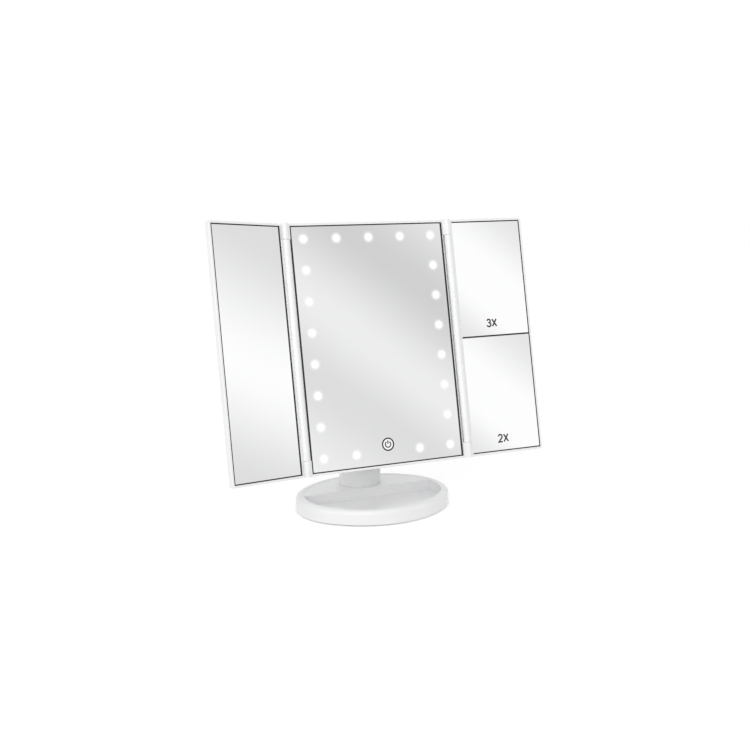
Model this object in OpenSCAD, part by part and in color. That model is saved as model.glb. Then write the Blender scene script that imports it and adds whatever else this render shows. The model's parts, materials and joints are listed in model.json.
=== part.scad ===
// Trifold vanity mirror on an oval tray base.
// Millimetres, +Z up, +X to the right of someone who looks into the mirror, who stands at -Y.
// The origin is the centre of the base, on the table.

/* [Mirrors] */
// Width of the centre mirror between its dark edge lines
mirror_w = 158.8; // [150:0.2:175]
// Height of the mirrors between their dark edge lines
mirror_h = 230; // [215:1:250]
// Thickness of the mirror glass
glass_t = 2; // [1.6:0.1:2.4]
// Distance from the hinge axis to a wing mirror's far edge line
wing_reach = 82.2; // [76:0.1:82.2]
// Distance from the hinge axis to a wing mirror's near edge line
wing_start = 5.4; // [5.4:0.1:7]
// Radius of the upper magnifying mirror's curved silvered back
upper_curve_r = 1140; // [1100:20:2400]
// Radius of the lower magnifying mirror's curved silvered back
lower_curve_r = 1520; // [1100:20:2400]
// Height of the line between the two magnifying mirrors, as a share of the mirror height
divider_share = 0.5; // [0.4:0.01:0.6]
// Width of the dark line between the two magnifying mirrors
divider_w = 1.6; // [0.8:0.1:2]

/* [Frames] */
// Width of the frame lip at the top and bottom of each panel and at the wings' outer sides
lip_w = 2.2; // [1.8:0.1:3]
// Width of the centre frame's lip beside the hinges
lip_hinge_w = 1; // [0.9:0.1:1.4]
// How far the lips stand in front of the glass
lip_proud = 0.3; // [0.1:0.1:0.6]
// Width of the dark seal at the top and bottom of each mirror
seal_end = 1.2; // [0.6:0.1:1.4]
// Width of the dark seal beside the hinges
seal_hinge = 2; // [1:0.1:2]
// Width of the dark seal at the wings' outer sides
seal_outer = 1.2; // [0.6:0.1:1.4]
// Depth of the centre panel from the glass face to its back
panel_t = 14; // [13.5:0.5:16]
// Thickness of the rear cover
cover_t = 2.5; // [2.5:0.1:3]
// Depth of a wing from the glass face to its back
wing_t = 5.6; // [5.6:0.1:8]
// Thickness of a wing's back cover
wing_cover_t = 1.4; // [1.2:0.1:1.6]
// Thickness of the frames' walls
wall = 1.8; // [1.6:0.1:2.2]
// Radius of the panels' corners
corner_r = 2.5; // [2:0.1:4]
// Rounding of the panels' front edges
front_round = 0.8; // [0.4:0.1:1]
// Rounding of the centre panel's back edges
back_round = 2; // [1:0.1:2.4]
// Rounding of the wings' back edges
wing_round = 1.2; // [0.6:0.1:1.2]

/* [Wing hinges] */
// Radius of the hinge knuckles and barrels
hinge_r = 3.4; // [3:0.1:3.6]
// Distance from the centre mirror's edge line to the hinge axis
hinge_out = 5.9; // [5.9:0.05:7]
// How far the hinge axis lies in front of the mirror face
hinge_proud = 2.1; // [1.8:0.1:2.6]
// Length of a hinge knuckle
knuckle_h = 15; // [12:0.5:24]
// End gap between a knuckle and a barrel
hinge_gap = 0.3; // [0.2:0.05:0.6]
// Radius of a hinge pin
pin_r = 1.25; // [1:0.05:1.3]
// Radius of a hinge pin's head
pin_head_r = 2; // [1.8:0.1:2.4]
// Depth of a hinge pin inside the barrel
pin_depth = 10; // [6:0.5:20]
// Outer radius of a friction bush
bush_r = 2.3; // [2.1:0.1:2.5]
// Left wing's fold, forward of the flat position
left_fold = 19.5; // [0:0.1:90]
// Right wing's fold, forward of the flat position
right_fold = 2.2; // [0:0.1:90]

/* [Lights and touch switch] */
// Diameter of a light spot
spot_d = 7.6; // [6:0.1:10]
// Distance from the centre mirror's side edge lines to the outer columns of light spots
spot_side = 12.4; // [12:0.1:20]
// Height of the lowest light spots above the mirror's bottom line
spot_low = 12.2; // [9:0.1:20]
// Distance from the mirror's top edge line down to the highest light spots
spot_top = 12; // [11:0.5:24]
// Rows of light spots
spot_rows = 8; // [6:1:10]
// Height of the touch switch above the mirror's bottom line
touch_z = 19; // [16:0.5:26]
// Outer radius of the touch switch's ring
touch_r = 6.5; // [5:0.1:7]

/* [Tilt joint] */
// Rest tilt of the head, leaning back from upright
tilt = 14.5; // [0:0.5:30]
// Position of the tilt axis along Y
axis_y = -2.4; // [-4:0.1:2]
// Height of the tilt axis above the table
axis_z = 72.7; // [70:0.1:90]
// Distance from the glass face back to the tilt axis
axis_back = 28; // [28:0.5:34]
// Height of the tilt axis above the mirrors' bottom line
axis_up = 28; // [26:0.5:36]
// Radius of the neck's barrel
barrel_r = 10; // [9:0.1:11]
// Thickness of a bracket ear
ear_t = 5; // [4:0.5:7]
// Radius of the tilt shaft
shaft_r = 3; // [2.5:0.1:3.5]
// Thickness of a friction washer
washer_t = 0.6; // [0.4:0.1:1]

/* [Neck] */
// Width of the neck
neck_w = 42.6; // [38.6:0.8:45]
// Y of the neck's front face, at the base
neck_front = 15.3; // [12:0.1:17]
// Y of the neck's back face, at the base
neck_back = 40; // [38:0.5:42]
// Radius of the neck's front corners
neck_corner_r = 7; // [5:0.5:8]
// Radius of the bend in the neck, at the middle of its depth
bend_r = 20; // [18:0.5:24]
// Thickness of the neck's wall
neck_wall = 2.4; // [2:0.1:3]

/* [Base] */
// Half width of the oval base
base_a = 78.3; // [72:0.1:90]
// Twelfth part of the difference between the base's half width and half depth
base_k = 1.5; // [1.5:0.05:1.8]
// Height of the base
base_h = 15.4; // [14.5:0.1:18]
// Width of the base's rim
rim_w = 8; // [7.5:0.1:10]
// Outer rounding of the rim
rim_round = 4.5; // [2:0.1:5]
// Depth of the rear deck below the rim
deck_drop = 0.4; // [0.4:0.1:1.5]
// Depth of the tray below the deck
tray_depth = 9.9; // [7:0.1:9.9]
// Y of the wall between the tray and the deck
divider_y = 11.4; // [6:0.1:12]
// Thickness of the base's skin
base_skin = 2; // [1.6:0.1:2.2]
// Thickness of the tray's floor
floor_t = 1.6; // [1.2:0.1:1.7]
// Thickness of the anti-slip pad
pad_t = 1; // [0.8:0.1:1.2]
// Thickness of the bottom plate
bottom_t = 1.6; // [1.4:0.1:1.8]
// Thickness of the ballast plate
ballast_t = 3; // [2:0.1:3.2]

/* [Battery compartment] */
// Diameter of a battery cell
cell_d = 10.5; // [10.2:0.1:10.6]
// Length of a battery cell
cell_l = 44.5; // [43:0.1:45]
// Number of battery cells side by side
cells = 4; // [3:1:4]
// Height of the compartment's floor end above the mirrors' bottom line
bay_z = 62; // [62:0.5:100]
// Thickness of the battery door
door_t = 1.8; // [1.4:0.1:2]
// Thickness of the compartment's walls
bay_wall = 1.2; // [1:0.1:1.4]

/* [Hidden] */
$fn = 96;
CURVE_FN = 240;
EPS = 0.01;
FIT = 0.05;            // radial clearance of pins, screws and the shaft
GAP = 0.2;             // clearance between parts that are assembled by hand
INK_T = 0.12;          // thickness of the printed touch mark

WHITE = [0.95, 0.95, 0.94];
LIGHT_GREY = [0.86, 0.86, 0.87];
GLASS = [0.8, 0.82, 0.84];
BLACK = [0.06, 0.06, 0.07];
STEEL = [0.62, 0.63, 0.65];
BRASS = [0.75, 0.62, 0.3];
BOARD_GREEN = [0.1, 0.38, 0.2];
BOARD_WHITE = [0.9, 0.9, 0.86];
LAMP = [1, 0.99, 0.93];

// Frames
win_low = -seal_end / 2;
win_high = mirror_h + seal_end / 2;
low = win_low - lip_w;
high = win_high + lip_w;
panel_h = high - low;
win_x = mirror_w / 2 + seal_hinge / 2;
frame_x = win_x + lip_hinge_w;
glass_x = mirror_w / 2 - seal_hinge / 2;
glass_low = seal_end / 2;
glass_high = mirror_h - seal_end / 2;
tape_t = 0.8;
tape_w = spot_d + 10;
partition_y = glass_t + tape_t;
partition_t = 1.5;
partition_back = partition_y + partition_t;
cover_y = panel_t - cover_t;

// Hinges
hinge_x = mirror_w / 2 + hinge_out;
knuckle_back = wing_t;
barrel_low = low + knuckle_h + hinge_gap;
barrel_high = high - knuckle_h - hinge_gap;
pin_head_t = 1.2;
wing_in = ceil(10 * sqrt(pow(hinge_r + hinge_gap, 2) - pow(hinge_proud - lip_proud, 2))) / 10;
wing_win_in = wing_start - seal_hinge / 2;
wing_win_out = wing_reach + seal_outer / 2;
wing_out = wing_win_out + lip_w;
wing_glass_in = wing_start + seal_hinge / 2;
wing_glass_out = wing_reach - seal_outer / 2;
wing_frame_back = wing_t - wing_cover_t;
ledge_t = 1;
ledge_y = wing_frame_back - ledge_t;
ledge_w = 6;
web_out = 2.4;
divider_z = mirror_h * divider_share;
magnifier_edge_t = 1.2;
back_bands = 14;
pad_long = 8;
pad_step = 14;

// Lights
spot_columns = 5;
spot_x = mirror_w / 2 - spot_side;
spot_high = mirror_h - spot_top;
spot_step_x = 2 * spot_x / (spot_columns - 1);
spot_step_z = (spot_high - spot_low) / (spot_rows - 1);
chip_w = 3.5;
chip_h = 2.8;
chip_t = 0.7;
led_board_t = 1;
chip_gap = 0.2;
led_board_y = partition_back + chip_gap + chip_t;
led_board_edge = 6;
led_board_x = spot_x + led_board_edge;
led_strip_w = 2 * led_board_edge + 2;
led_board_low = 4;
led_board_high = mirror_h - led_board_low;
led_bottom_strip = 30;
led_back = led_board_y + led_board_t;

// Printed touch mark
ring_w = 1.4;
sign_r = 3.4;
sign_w = 1.1;
sign_gap_deg = 32;
sign_bar_low = 0.3;

// Touch sensor
touch_board_y = led_back + 0.8;
touch_board_t = 1;
touch_board_w = 24;
touch_board_low = 10;
touch_board_h = 28;
touch_spring_r = 4;
touch_pad_t = 0.3;
touch_chip_w = 6;
touch_chip_h = 4;
touch_chip_t = 1.2;
standoff_r = 2.2;
touch_standoff_x = 8;
touch_standoff_z = touch_board_low + touch_board_h - 3;

// Control board, switch and charging socket
board_x0 = 30;
board_w = 38;
board_h = 40;
board_y = led_back + 1.4;
board_t = 1;
board_standoff_z = board_h - 4;
board_back = board_y + board_t;
board_chip_w = 8;
board_chip_z = 18;
board_chip_t = 1.5;
capacitor_x = 26;
capacitor_r = 2.5;
resistor_step = 3;
resistor_w = 1.6;
resistor_h = 1;
resistor_t = 0.6;
resistor_z = board_h - 11;
usb_x = board_x0 + board_w / 2;
usb_w = 7.6;
usb_t = cover_y - GAP - board_back;
usb_len = 5.6;
usb_wall = 0.4;
usb_tongue_t = 0.6;
switch_x = -50;
switch_z = 30;
switch_w = 13;
switch_h = 6;
switch_t = 3.6;
switch_travel = 3;
knob_w = 4.5;
knob_h = 3.4;
recess_depth = 1.2;

// Rear cover screws
boss_r = 3;
boss_x = frame_x - boss_r - wall - 0.6;
boss_rows = [low + 10, mirror_h / 2, high - 10];
screw_r = 1.3;
screw_head_r = 2.6;
screw_head_t = 1.3;

// Battery compartment
contact_t = 0.5;
spring_h = 3.4;
spring_root_r = 4;
spring_tip_r = 2;
cell_gap = 0.5;
bay_w = cells * cell_d + (cells + 1) * cell_gap;
bay_h = cell_l + spring_h + 2 * contact_t + 2 * FIT;
bay_floor_y = led_back + 0.8;
bay_y = bay_floor_y + bay_wall;
bay_back = bay_y + cell_d + 2 * GAP;
bulge_back = bay_back + GAP + door_t;
bulge_side = 6;
bulge_w = bay_w + 2 * bulge_side;
bulge_low = bay_z - 8;
bulge_high = bay_z + bay_h + 8;
bulge_round = 3;
bulge_corner_r = 6;
door_w = bay_w + 5;
door_low = bay_z - 4;
door_tongue = 1;
door_tongue_t = 0.8;
nub_r = 1.9;
nub_h = 0.9;

// Tilt joint
ear_in = neck_w / 2 + washer_t;
ear_out = ear_in + ear_t;
bracket_t = 2.5;
bracket_side = 7.9;
bracket_corner_r = 5;
bracket_w = 2 * (ear_out + bracket_side);
bracket_low = 8;
bracket_high = bulge_low - 4;
bracket_screw_out = 3.4;
bracket_screw_x = ear_out + bracket_screw_out;
bracket_screw_rows = [bracket_low + 5.5, bracket_high - 5.5];
ear_root_r = 17;
nut_r = 5.8;
nut_t = 4;
spring_washer_t = 1;
cap_r = 8.4;
cap_h = 7.5;
cap_wall = 1.2;
shaft_head_t = 3;

// Neck: its front arc meets its corner arcs on lines that go 4 across and 3 along, and it leans by the
// angle whose sides are 3 and 4, so that every joint between two arcs falls on an exact point
neck_mid = (neck_front + neck_back) / 2;
neck_rear_r = 6;
neck_corner_x = neck_w / 2 - neck_corner_r;
neck_front_r = neck_corner_r + neck_corner_x * 5 / 4;
neck_front_y = neck_front + neck_front_r;
neck_corner_y = neck_front_y - neck_corner_x * 3 / 4;
neck_lean = atan2(3, 4);
bend_y = neck_mid - bend_r;
bend_z = round(100 * (axis_z - (bend_r - (axis_y - bend_y) * 4 / 5) * 5 / 3)) / 100;
leg_len = (axis_z - bend_z) * 4 / 5 - (axis_y - bend_y) * 3 / 5;
leg_root_half = (neck_back - neck_front) / 2 + 0.85;
leg_end_half = barrel_r - 0.7;
flange_low = 6;
flange_t = 2.6;
flange_side = 3.2;
flange_side_y = 4;
neck_screw_x = neck_w / 2 + 4.6;
flange_w = 2 * (neck_screw_x + flange_side);
neck_screw_rows = [neck_front + 5, neck_back - 3];
neck_boss_r = 3.4;
neck_screw_head_t = 1.6;

// The base's oval is made of four arcs, which meet on the line from a side arc's centre through an end
// arc's centre: that line goes 20 across and 21 along for each 29 of its length
end_x = 20 * base_k;
side_y = 21 * base_k;
end_r = base_a - end_x;
side_r = end_r + 29 * base_k;
base_b = side_r - side_y;
base_low = pad_t;
deck_z = base_h - deck_drop;
tray_z = deck_z - tray_depth;
rim_in_round = 1.2;
foot_round = 0.8;
deck_round = 1.2;
plate_low = base_low;
plate_top = plate_low + bottom_t;
post_r = 2.6;
post_turn = 30;
post_inset = rim_w / 2;
base_screw_head_t = 0.9;
base_screw_head_r = 1.7;
base_screw_top = base_h - base_skin - 2;
ballast_low = plate_top;
ballast_inset = rim_w + 1;
flange_clear = 1;

// ---------------------------------------------------------------- placing

// Moves children from the head's upright frame to their place: there X is right, Y is back from the
// centre mirror's face and Z is up from the mirrors' bottom line
module head() {
    translate([0, axis_y, axis_z]) rotate([-tilt, 0, 0]) translate([0, -axis_back, -axis_up]) children();
}

// Moves children from a wing's frame, with X outward from its hinge axis and Y back from its mirror's
// face, to their place on the left or right of the head
module left_wing() {
    head() translate([-hinge_x, -hinge_proud, 0]) rotate([0, 0, left_fold])
        translate([0, hinge_proud, 0]) mirror([1, 0, 0]) children();
}

module right_wing() {
    head() translate([hinge_x, -hinge_proud, 0]) rotate([0, 0, -right_fold])
        translate([0, hinge_proud, 0]) children();
}

module both_sides() {
    children();
    mirror([1, 0, 0]) children();
}

// A box from one corner to the opposite one
module span(a, b) {
    translate(a) cube(b - a);
}

// A cylinder along +Y from y0 to y1
module rod_y(r, y0, y1) {
    translate([0, y0, 0]) rotate([-90, 0, 0]) cylinder(r = r, h = y1 - y0);
}

// A cylinder along +X from x0 to x1
module rod_x(r, x0, x1) {
    translate([x0, 0, 0]) rotate([0, 90, 0]) cylinder(r = r, h = x1 - x0);
}

// ---------------------------------------------------------------- rounded slabs

// Section of a slab: a rectangle with rounded corners, rounded by rb at y = 0 and by rf at y = t
module slab_section(w, t, rf, rb) {
    intersection() {
        translate([-w / 2, 0]) square([w, t]);
        union() {
            translate([-w / 2, rb]) square([w, t - rb - rf]);
            translate([-w / 2 + rb, 0]) square([w - 2 * rb, rb]);
            translate([-w / 2 + rf, t - rf]) square([w - 2 * rf, rf]);
            for (side = [-1, 1]) {
                translate([side * (w / 2 - rb), rb]) circle(r = rb);
                translate([side * (w / 2 - rf), t - rf]) circle(r = rf);
            }
        }
    }
}

// A panel x0 to x1 wide and z0 to z1 high, from y0 at its front to y1 at its back, with rounded corners,
// front edges and back edges
module slab(x0, x1, y0, y1, z0, z1, rc, rf, rb) {
    w = x1 - x0;
    h = z1 - z0;
    t = y1 - y0;
    translate([(x0 + x1) / 2, y1, z0]) rotate([90, 0, 0]) {
        translate([0, h - rc, 0]) rotate([90, 0, 0]) linear_extrude(h - 2 * rc) slab_section(w, t, rf, rb);
        translate([-w / 2 + rc, h / 2, 0]) rotate([90, 0, 90])
            linear_extrude(w - 2 * rc) slab_section(h, t, rf, rb);
        for (x = [-w / 2 + rc, w / 2 - rc]) for (z = [rc, h - rc]) translate([x, z, 0])
            rotate_extrude() intersection() {
                slab_section(2 * rc, t, rf, rb);
                square([rc, t]);
            }
    }
}

// A rectangular ring from y0 to y1, between an outer and an inner rectangle [x0, x1, z0, z1]
module ring(outer, inner, y0, y1) {
    difference() {
        span([outer[0], y0, outer[2]], [outer[1], y1, outer[3]]);
        span([inner[0], y0 - 1, inner[2]], [inner[1], y1 + 1, inner[3]]);
    }
}

function inset(box, d) = [box[0] + d, box[1] - d, box[2] + d, box[3] - d];

// ---------------------------------------------------------------- small hardware

// A pan-head screw along +Z, with its head's bearing face at z = 0
module screw(r, length, head_r, head_t) {
    cylinder(r = r, h = length);
    difference() {
        translate([0, 0, -head_t]) cylinder(r1 = head_r * 0.82, r2 = head_r, h = head_t);
        for (turn_deg = [0, 90]) rotate([0, 0, turn_deg])
            translate([-head_r * 0.5, -head_r * 0.11, -head_t - EPS])
                cube([head_r, head_r * 0.22, head_t * 0.5]);
    }
}

// A round wire that drops from z0 at x0, runs level at z_level and drops to z1 at x1, with soft bends
module bent_wire(x0, z0, x1, z1, z_level, y, bend, r) {
    translate([x0, y, z_level + bend]) cylinder(r = r, h = z0 - z_level - bend);
    translate([x0 + bend, y, z_level]) rod_x(r, 0, x1 - x0 - 2 * bend);
    translate([x1, y, z1]) cylinder(r = r, h = z_level - bend - z1);
    translate([x0 + bend, y, z_level + bend]) rotate([90, 0, 0]) rotate_extrude(angle = 90, start = 180)
        translate([bend, 0]) circle(r = r, $fn = 32);
    translate([x1 - bend, y, z_level - bend]) rotate([90, 0, 0]) rotate_extrude(angle = 90)
        translate([bend, 0]) circle(r = r, $fn = 32);
}

// ---------------------------------------------------------------- base

// The part of the plan that belongs to the rear side arc, and the part of the right end arc
module side_wedge() {
    polygon([[0, -side_y], [4 * end_x, 3 * side_y], [-4 * end_x, 3 * side_y]]);
}

module end_wedge() {
    polygon([[end_x, 0], [4 * end_x, -3 * side_y], [4 * end_x, 3 * side_y]]);
}

// An upright oval cylinder whose side lies d inside the base's outline
module oval(d, z0, z1) {
    translate([0, 0, z0]) linear_extrude(z1 - z0) for (half_turn = [0, 180]) rotate([0, 0, half_turn]) {
        intersection() {
            translate([0, -side_y]) circle(r = side_r - d, $fn = CURVE_FN);
            side_wedge();
        }
        intersection() {
            translate([end_x, 0]) circle(r = end_r - d, $fn = CURVE_FN);
            end_wedge();
        }
    }
}

// Half section of the base's outside, out to r: a rounded rim on straight sides
module base_section(r) {
    intersection() {
        square([r, base_h]);
        union() {
            translate([0, base_low]) square([r - foot_round, foot_round]);
            translate([0, base_low + foot_round]) square([r, base_h - rim_round - base_low - foot_round]);
            translate([0, base_h - rim_round]) square([r - rim_round, rim_round]);
            translate([r - rim_round, base_h - rim_round]) circle(r = rim_round);
            translate([r - foot_round, base_low + foot_round]) circle(r = foot_round);
        }
    }
}

// Half section of the space inside the rim, which widens at the rim's rounded inner edge
module inside_section(r) {
    translate([0, tray_z]) square([r - rim_w, base_h]);
    translate([r - rim_w - 1, base_h - rim_in_round]) difference() {
        square([rim_in_round + 1, base_h]);
        translate([rim_in_round + 1, 0]) circle(r = rim_in_round);
    }
}

module base_solid() {
    for (half_turn = [0, 180]) rotate([0, 0, half_turn]) {
        intersection() {
            translate([0, -side_y, 0]) rotate_extrude($fn = CURVE_FN) base_section(side_r);
            linear_extrude(3 * base_h) side_wedge();
        }
        intersection() {
            translate([end_x, 0, 0]) rotate_extrude($fn = CURVE_FN) base_section(end_r);
            linear_extrude(3 * base_h) end_wedge();
        }
    }
}

module inside_solid() {
    for (half_turn = [0, 180]) rotate([0, 0, half_turn]) {
        intersection() {
            translate([0, -side_y, 0]) rotate_extrude($fn = CURVE_FN) inside_section(side_r);
            linear_extrude(3 * base_h) side_wedge();
        }
        intersection() {
            translate([end_x, 0, 0]) rotate_extrude($fn = CURVE_FN) inside_section(end_r);
            linear_extrude(3 * base_h) end_wedge();
        }
    }
}

// The rear deck with its rounded front edge, seen from the side
module deck_section() {
    translate([divider_y + deck_round, 0]) square([base_b, deck_z]);
    translate([divider_y, 0]) square([base_b, deck_z - deck_round]);
    translate([divider_y + deck_round, deck_z - deck_round]) circle(r = deck_round);
}

// Places children at the four screw posts in the rim
module at_posts() {
    r = side_r - post_inset;
    for (side = [-1, 1]) for (turn_deg = [-post_turn, post_turn])
        translate([r * sin(turn_deg), side * (r * cos(turn_deg) - side_y), 0]) children();
}

module at_neck_screws() {
    for (side = [-1, 1]) for (y = neck_screw_rows) translate([side * neck_screw_x, y, 0]) children();
}

module base_shell() {
    hollow_z = base_h - base_skin - 1;
    inner_skin = rim_w - base_skin;
    color(WHITE) difference() {
        base_solid();
        difference() {
            inside_solid();
            rotate([90, 0, 90]) linear_extrude(2 * base_a, center = true) deck_section();
        }
        oval(base_skin, 0, tray_z - floor_t);
        difference() {
            oval(base_skin, 0, hollow_z);
            oval(inner_skin, -1, base_h);
            at_posts() cylinder(r = post_r, h = base_h);
        }
        difference() {
            intersection() {
                oval(rim_w, 0, deck_z - base_skin);
                span([-base_a, divider_y + base_skin, 0], [base_a, base_b, base_h]);
            }
            at_neck_screws() translate([0, 0, flange_low + flange_t]) cylinder(r = neck_boss_r, h = base_h);
        }
        at_posts() translate([0, 0, -1]) cylinder(r = screw_r, h = base_screw_top + 1);
        at_neck_screws() cylinder(r = screw_r, h = deck_z - 1);
        linear_extrude(2 * base_h) neck_plan(-GAP);
    }
}

module base_bottom_plate() {
    color(LIGHT_GREY) difference() {
        oval(base_skin + GAP, plate_low, plate_top);
        at_posts() cylinder(r = screw_r + FIT, h = base_h);
        at_posts() translate([0, 0, plate_low - 1])
            cylinder(r = base_screw_head_r + FIT, h = 1 + base_screw_head_t);
    }
}

module base_pad() {
    color(BLACK) oval(base_skin + 1, 0, pad_t);
}

module base_screws() {
    color(STEEL) at_posts() translate([0, 0, plate_low + base_screw_head_t])
        screw(screw_r - FIT, base_screw_top - plate_low - base_screw_head_t - 1, base_screw_head_r,
            base_screw_head_t);
}

module ballast_plate() {
    color(STEEL) difference() {
        intersection() {
            oval(ballast_inset, ballast_low, ballast_low + ballast_t);
            span([-base_a, divider_y + base_skin + GAP, 0], [base_a, base_b, base_h]);
        }
        at_neck_screws() cylinder(r = screw_head_r + flange_clear, h = base_h);
    }
}

// ---------------------------------------------------------------- neck

// The neck's outline at the base: a curved front, soft corners and a flat back, drawn in by d
module neck_plan(d = 0) {
    rear_y = neck_back - neck_rear_r;
    far = 4 * neck_w;
    intersection() {
        translate([0, neck_front_y]) circle(r = neck_front_r - d);
        polygon([[0, neck_front_y], [-4 * far, neck_front_y - 3 * far], [4 * far, neck_front_y - 3 * far]]);
    }
    for (side = [-1, 1]) {
        translate([side * neck_corner_x, neck_corner_y]) circle(r = neck_corner_r - d);
        translate([side * (neck_w / 2 - neck_rear_r), rear_y]) circle(r = neck_rear_r - d);
    }
    translate([-neck_w / 2 + d, neck_corner_y]) square([neck_w - 2 * d, rear_y - neck_corner_y]);
    translate([-neck_w / 2 + neck_rear_r, rear_y - 1])
        square([neck_w - 2 * neck_rear_r, neck_rear_r + 1 - d]);
}

// The neck from z0 up: an upright post, a bend, and a tapered leg of the given length, all drawn in by d
module neck_body(d, z0, leg) {
    far = 20;
    translate([0, 0, z0]) linear_extrude(bend_z - z0) neck_plan(d);
    intersection() {
        translate([0, bend_y, bend_z]) rotate([0, 90, 0]) rotate_extrude()
            translate([-bend_y, 0]) rotate(-90) neck_plan(d);
        rotate([90, 0, 90]) linear_extrude(2 * neck_w, center = true)
            polygon([[bend_y, bend_z], [bend_y + 4 * far, bend_z], [bend_y + 4 * far, bend_z + 3 * far]]);
    }
    translate([0, bend_y, bend_z]) rotate([neck_lean, 0, 0]) intersection() {
        translate([0, -bend_y, 0]) linear_extrude(leg) neck_plan(d);
        rotate([90, 0, 90]) linear_extrude(2 * neck_w, center = true)
            polygon([[bend_r - leg_root_half + d, -1], [bend_r + leg_root_half - d, -1],
                [bend_r + leg_end_half - d, leg_len], [bend_r - leg_end_half + d, leg_len]]);
    }
}

module neck() {
    solid_end = barrel_r + 5;
    color(WHITE) difference() {
        union() {
            neck_body(0, flange_low, leg_len);
            translate([0, axis_y, axis_z]) rod_x(barrel_r, -neck_w / 2, neck_w / 2);
            span([-flange_w / 2, divider_y + base_skin + GAP, flange_low],
                [flange_w / 2, neck_back + flange_side_y, flange_low + flange_t - FIT]);
        }
        neck_body(neck_wall, flange_low - 1, leg_len - solid_end);
        translate([0, axis_y, axis_z]) rod_x(shaft_r + FIT, -neck_w, neck_w);
        at_neck_screws() cylinder(r = screw_r + GAP, h = base_h);
    }
}

module neck_screws() {
    color(STEEL) at_neck_screws() translate([0, 0, flange_low])
        screw(screw_r - FIT, deck_z - 2 - flange_low, screw_head_r, neck_screw_head_t);
}

// ---------------------------------------------------------------- tilt joint

module at_axis() {
    head() translate([0, axis_back, axis_up]) children();
}

module tilt_shaft() {
    color(STEEL) at_axis() {
        rod_x(shaft_r, -ear_out - EPS, ear_out + spring_washer_t + nut_t + 0.6);
        rotate([0, -90, 0]) translate([0, 0, ear_out]) cylinder(r = nut_r, h = shaft_head_t, $fn = 6);
    }
}

module tilt_washers() {
    color(BLACK) at_axis() both_sides() difference() {
        rod_x(barrel_r - 1, ear_in - washer_t + FIT, ear_in);
        rod_x(shaft_r + FIT, 0, ear_out);
    }
}

module tilt_spring_washers() {
    color(STEEL) at_axis() difference() {
        rod_x(nut_r, ear_out, ear_out + spring_washer_t);
        rod_x(shaft_r + FIT, 0, ear_out + 2 * spring_washer_t);
    }
}

module tilt_nut() {
    color(STEEL) at_axis() difference() {
        translate([ear_out + spring_washer_t, 0, 0]) rotate([0, 90, 0])
            cylinder(r = nut_r, h = nut_t, $fn = 6);
        rod_x(shaft_r + FIT, 0, 2 * ear_out);
    }
}

module tilt_caps() {
    color(WHITE) at_axis() both_sides() rotate([0, 90, 0]) translate([0, 0, ear_out]) rotate_extrude() {
        translate([cap_r - cap_wall, 0]) square([cap_wall, cap_h - 2]);
        translate([0, cap_h - cap_wall]) square([cap_r - 2, cap_wall]);
        translate([cap_r - 2, cap_h - 2]) difference() {
            circle(r = 2);
            circle(r = 2 - cap_wall);
            translate([-3, -3]) square([3, 6]);
            translate([-3, -3]) square([6, 3]);
        }
    }
}

// Angle of the line from a to b
function heading(a, b) = atan2(b[1] - a[1], b[0] - a[0]);

// Angle between the line of centres and the radius to the outer tangent of two circles
function tangent_turn(a, ra, b, rb) = acos((ra - rb) / norm(b - a));

function on_circle(c, r, deg) = c + r * [cos(deg), sin(deg)];

// Two circles and the strip between their outer tangents
module link(a, ra, b, rb) {
    h = heading(a, b);
    t = tangent_turn(a, ra, b, rb);
    translate(a) circle(r = ra);
    translate(b) circle(r = rb);
    polygon([on_circle(a, ra, h + t), on_circle(b, rb, h + t),
        on_circle(b, rb, h - t), on_circle(a, ra, h - t)]);
}

module at_bracket_screws() {
    for (side = [-1, 1]) for (z = bracket_screw_rows) translate([side * bracket_screw_x, 0, z]) children();
}

module tilt_bracket() {
    color(WHITE) head() difference() {
        union() {
            slab(-bracket_w / 2, bracket_w / 2, panel_t, panel_t + bracket_t,
                bracket_low, bracket_high, bracket_corner_r, EPS, 1);
            both_sides() intersection() {
                translate([ear_in, 0, 0]) rotate([90, 0, 90]) linear_extrude(ear_t)
                    link([axis_back, axis_up], barrel_r, [panel_t, axis_up], ear_root_r);
                span([0, panel_t + 1, 0], [ear_out, 2 * axis_back, 2 * axis_up]);
            }
        }
        translate([0, axis_back, axis_up]) rod_x(shaft_r + FIT, -bracket_w, bracket_w);
        at_bracket_screws() rod_y(screw_r + GAP, 0, 2 * panel_t);
    }
}

module bracket_screws() {
    color(STEEL) head() at_bracket_screws() translate([0, panel_t + bracket_t, 0]) rotate([90, 0, 0])
        screw(screw_r - FIT, bracket_t + cover_t + 1.5, screw_head_r, screw_head_t);
}

// ---------------------------------------------------------------- centre panel

// True where a light spot stands: the top row, both outer columns, and two in the lowest row
function spot_on(column, row) = row == spot_rows - 1 || abs(column) == 2 || row == 0 && abs(column) == 1;

module at_spots() {
    for (row = [0 : spot_rows - 1]) for (column = [-2 : 2]) if (spot_on(column, row))
        translate([column * spot_step_x, 0, spot_low + row * spot_step_z]) children();
}

module at_cover_screws() {
    for (side = [-1, 1]) for (z = boss_rows) translate([side * boss_x, 0, z]) children();
}

module at_board_standoffs() {
    for (x = [board_x0 + 4, board_x0 + board_w - 4]) translate([x, 0, board_standoff_z]) children();
}

module hinge_axis_rod(r, z0, z1) {
    translate([hinge_x, -hinge_proud, z0]) cylinder(r = r, h = z1 - z0);
}

// Knuckle with its web, at the lower right corner of the centre frame
module knuckle() {
    hinge_axis_rod(hinge_r, low, low + knuckle_h);
    span([frame_x - 1, -hinge_proud, low], [hinge_x + web_out - 1, knuckle_back, low + knuckle_h]);
}

module knuckle_bore() {
    hinge_axis_rod(pin_r, low - 1, low + knuckle_h + 1);
    hinge_axis_rod(pin_head_r + FIT, low - 1, low + pin_head_t);
}

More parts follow.
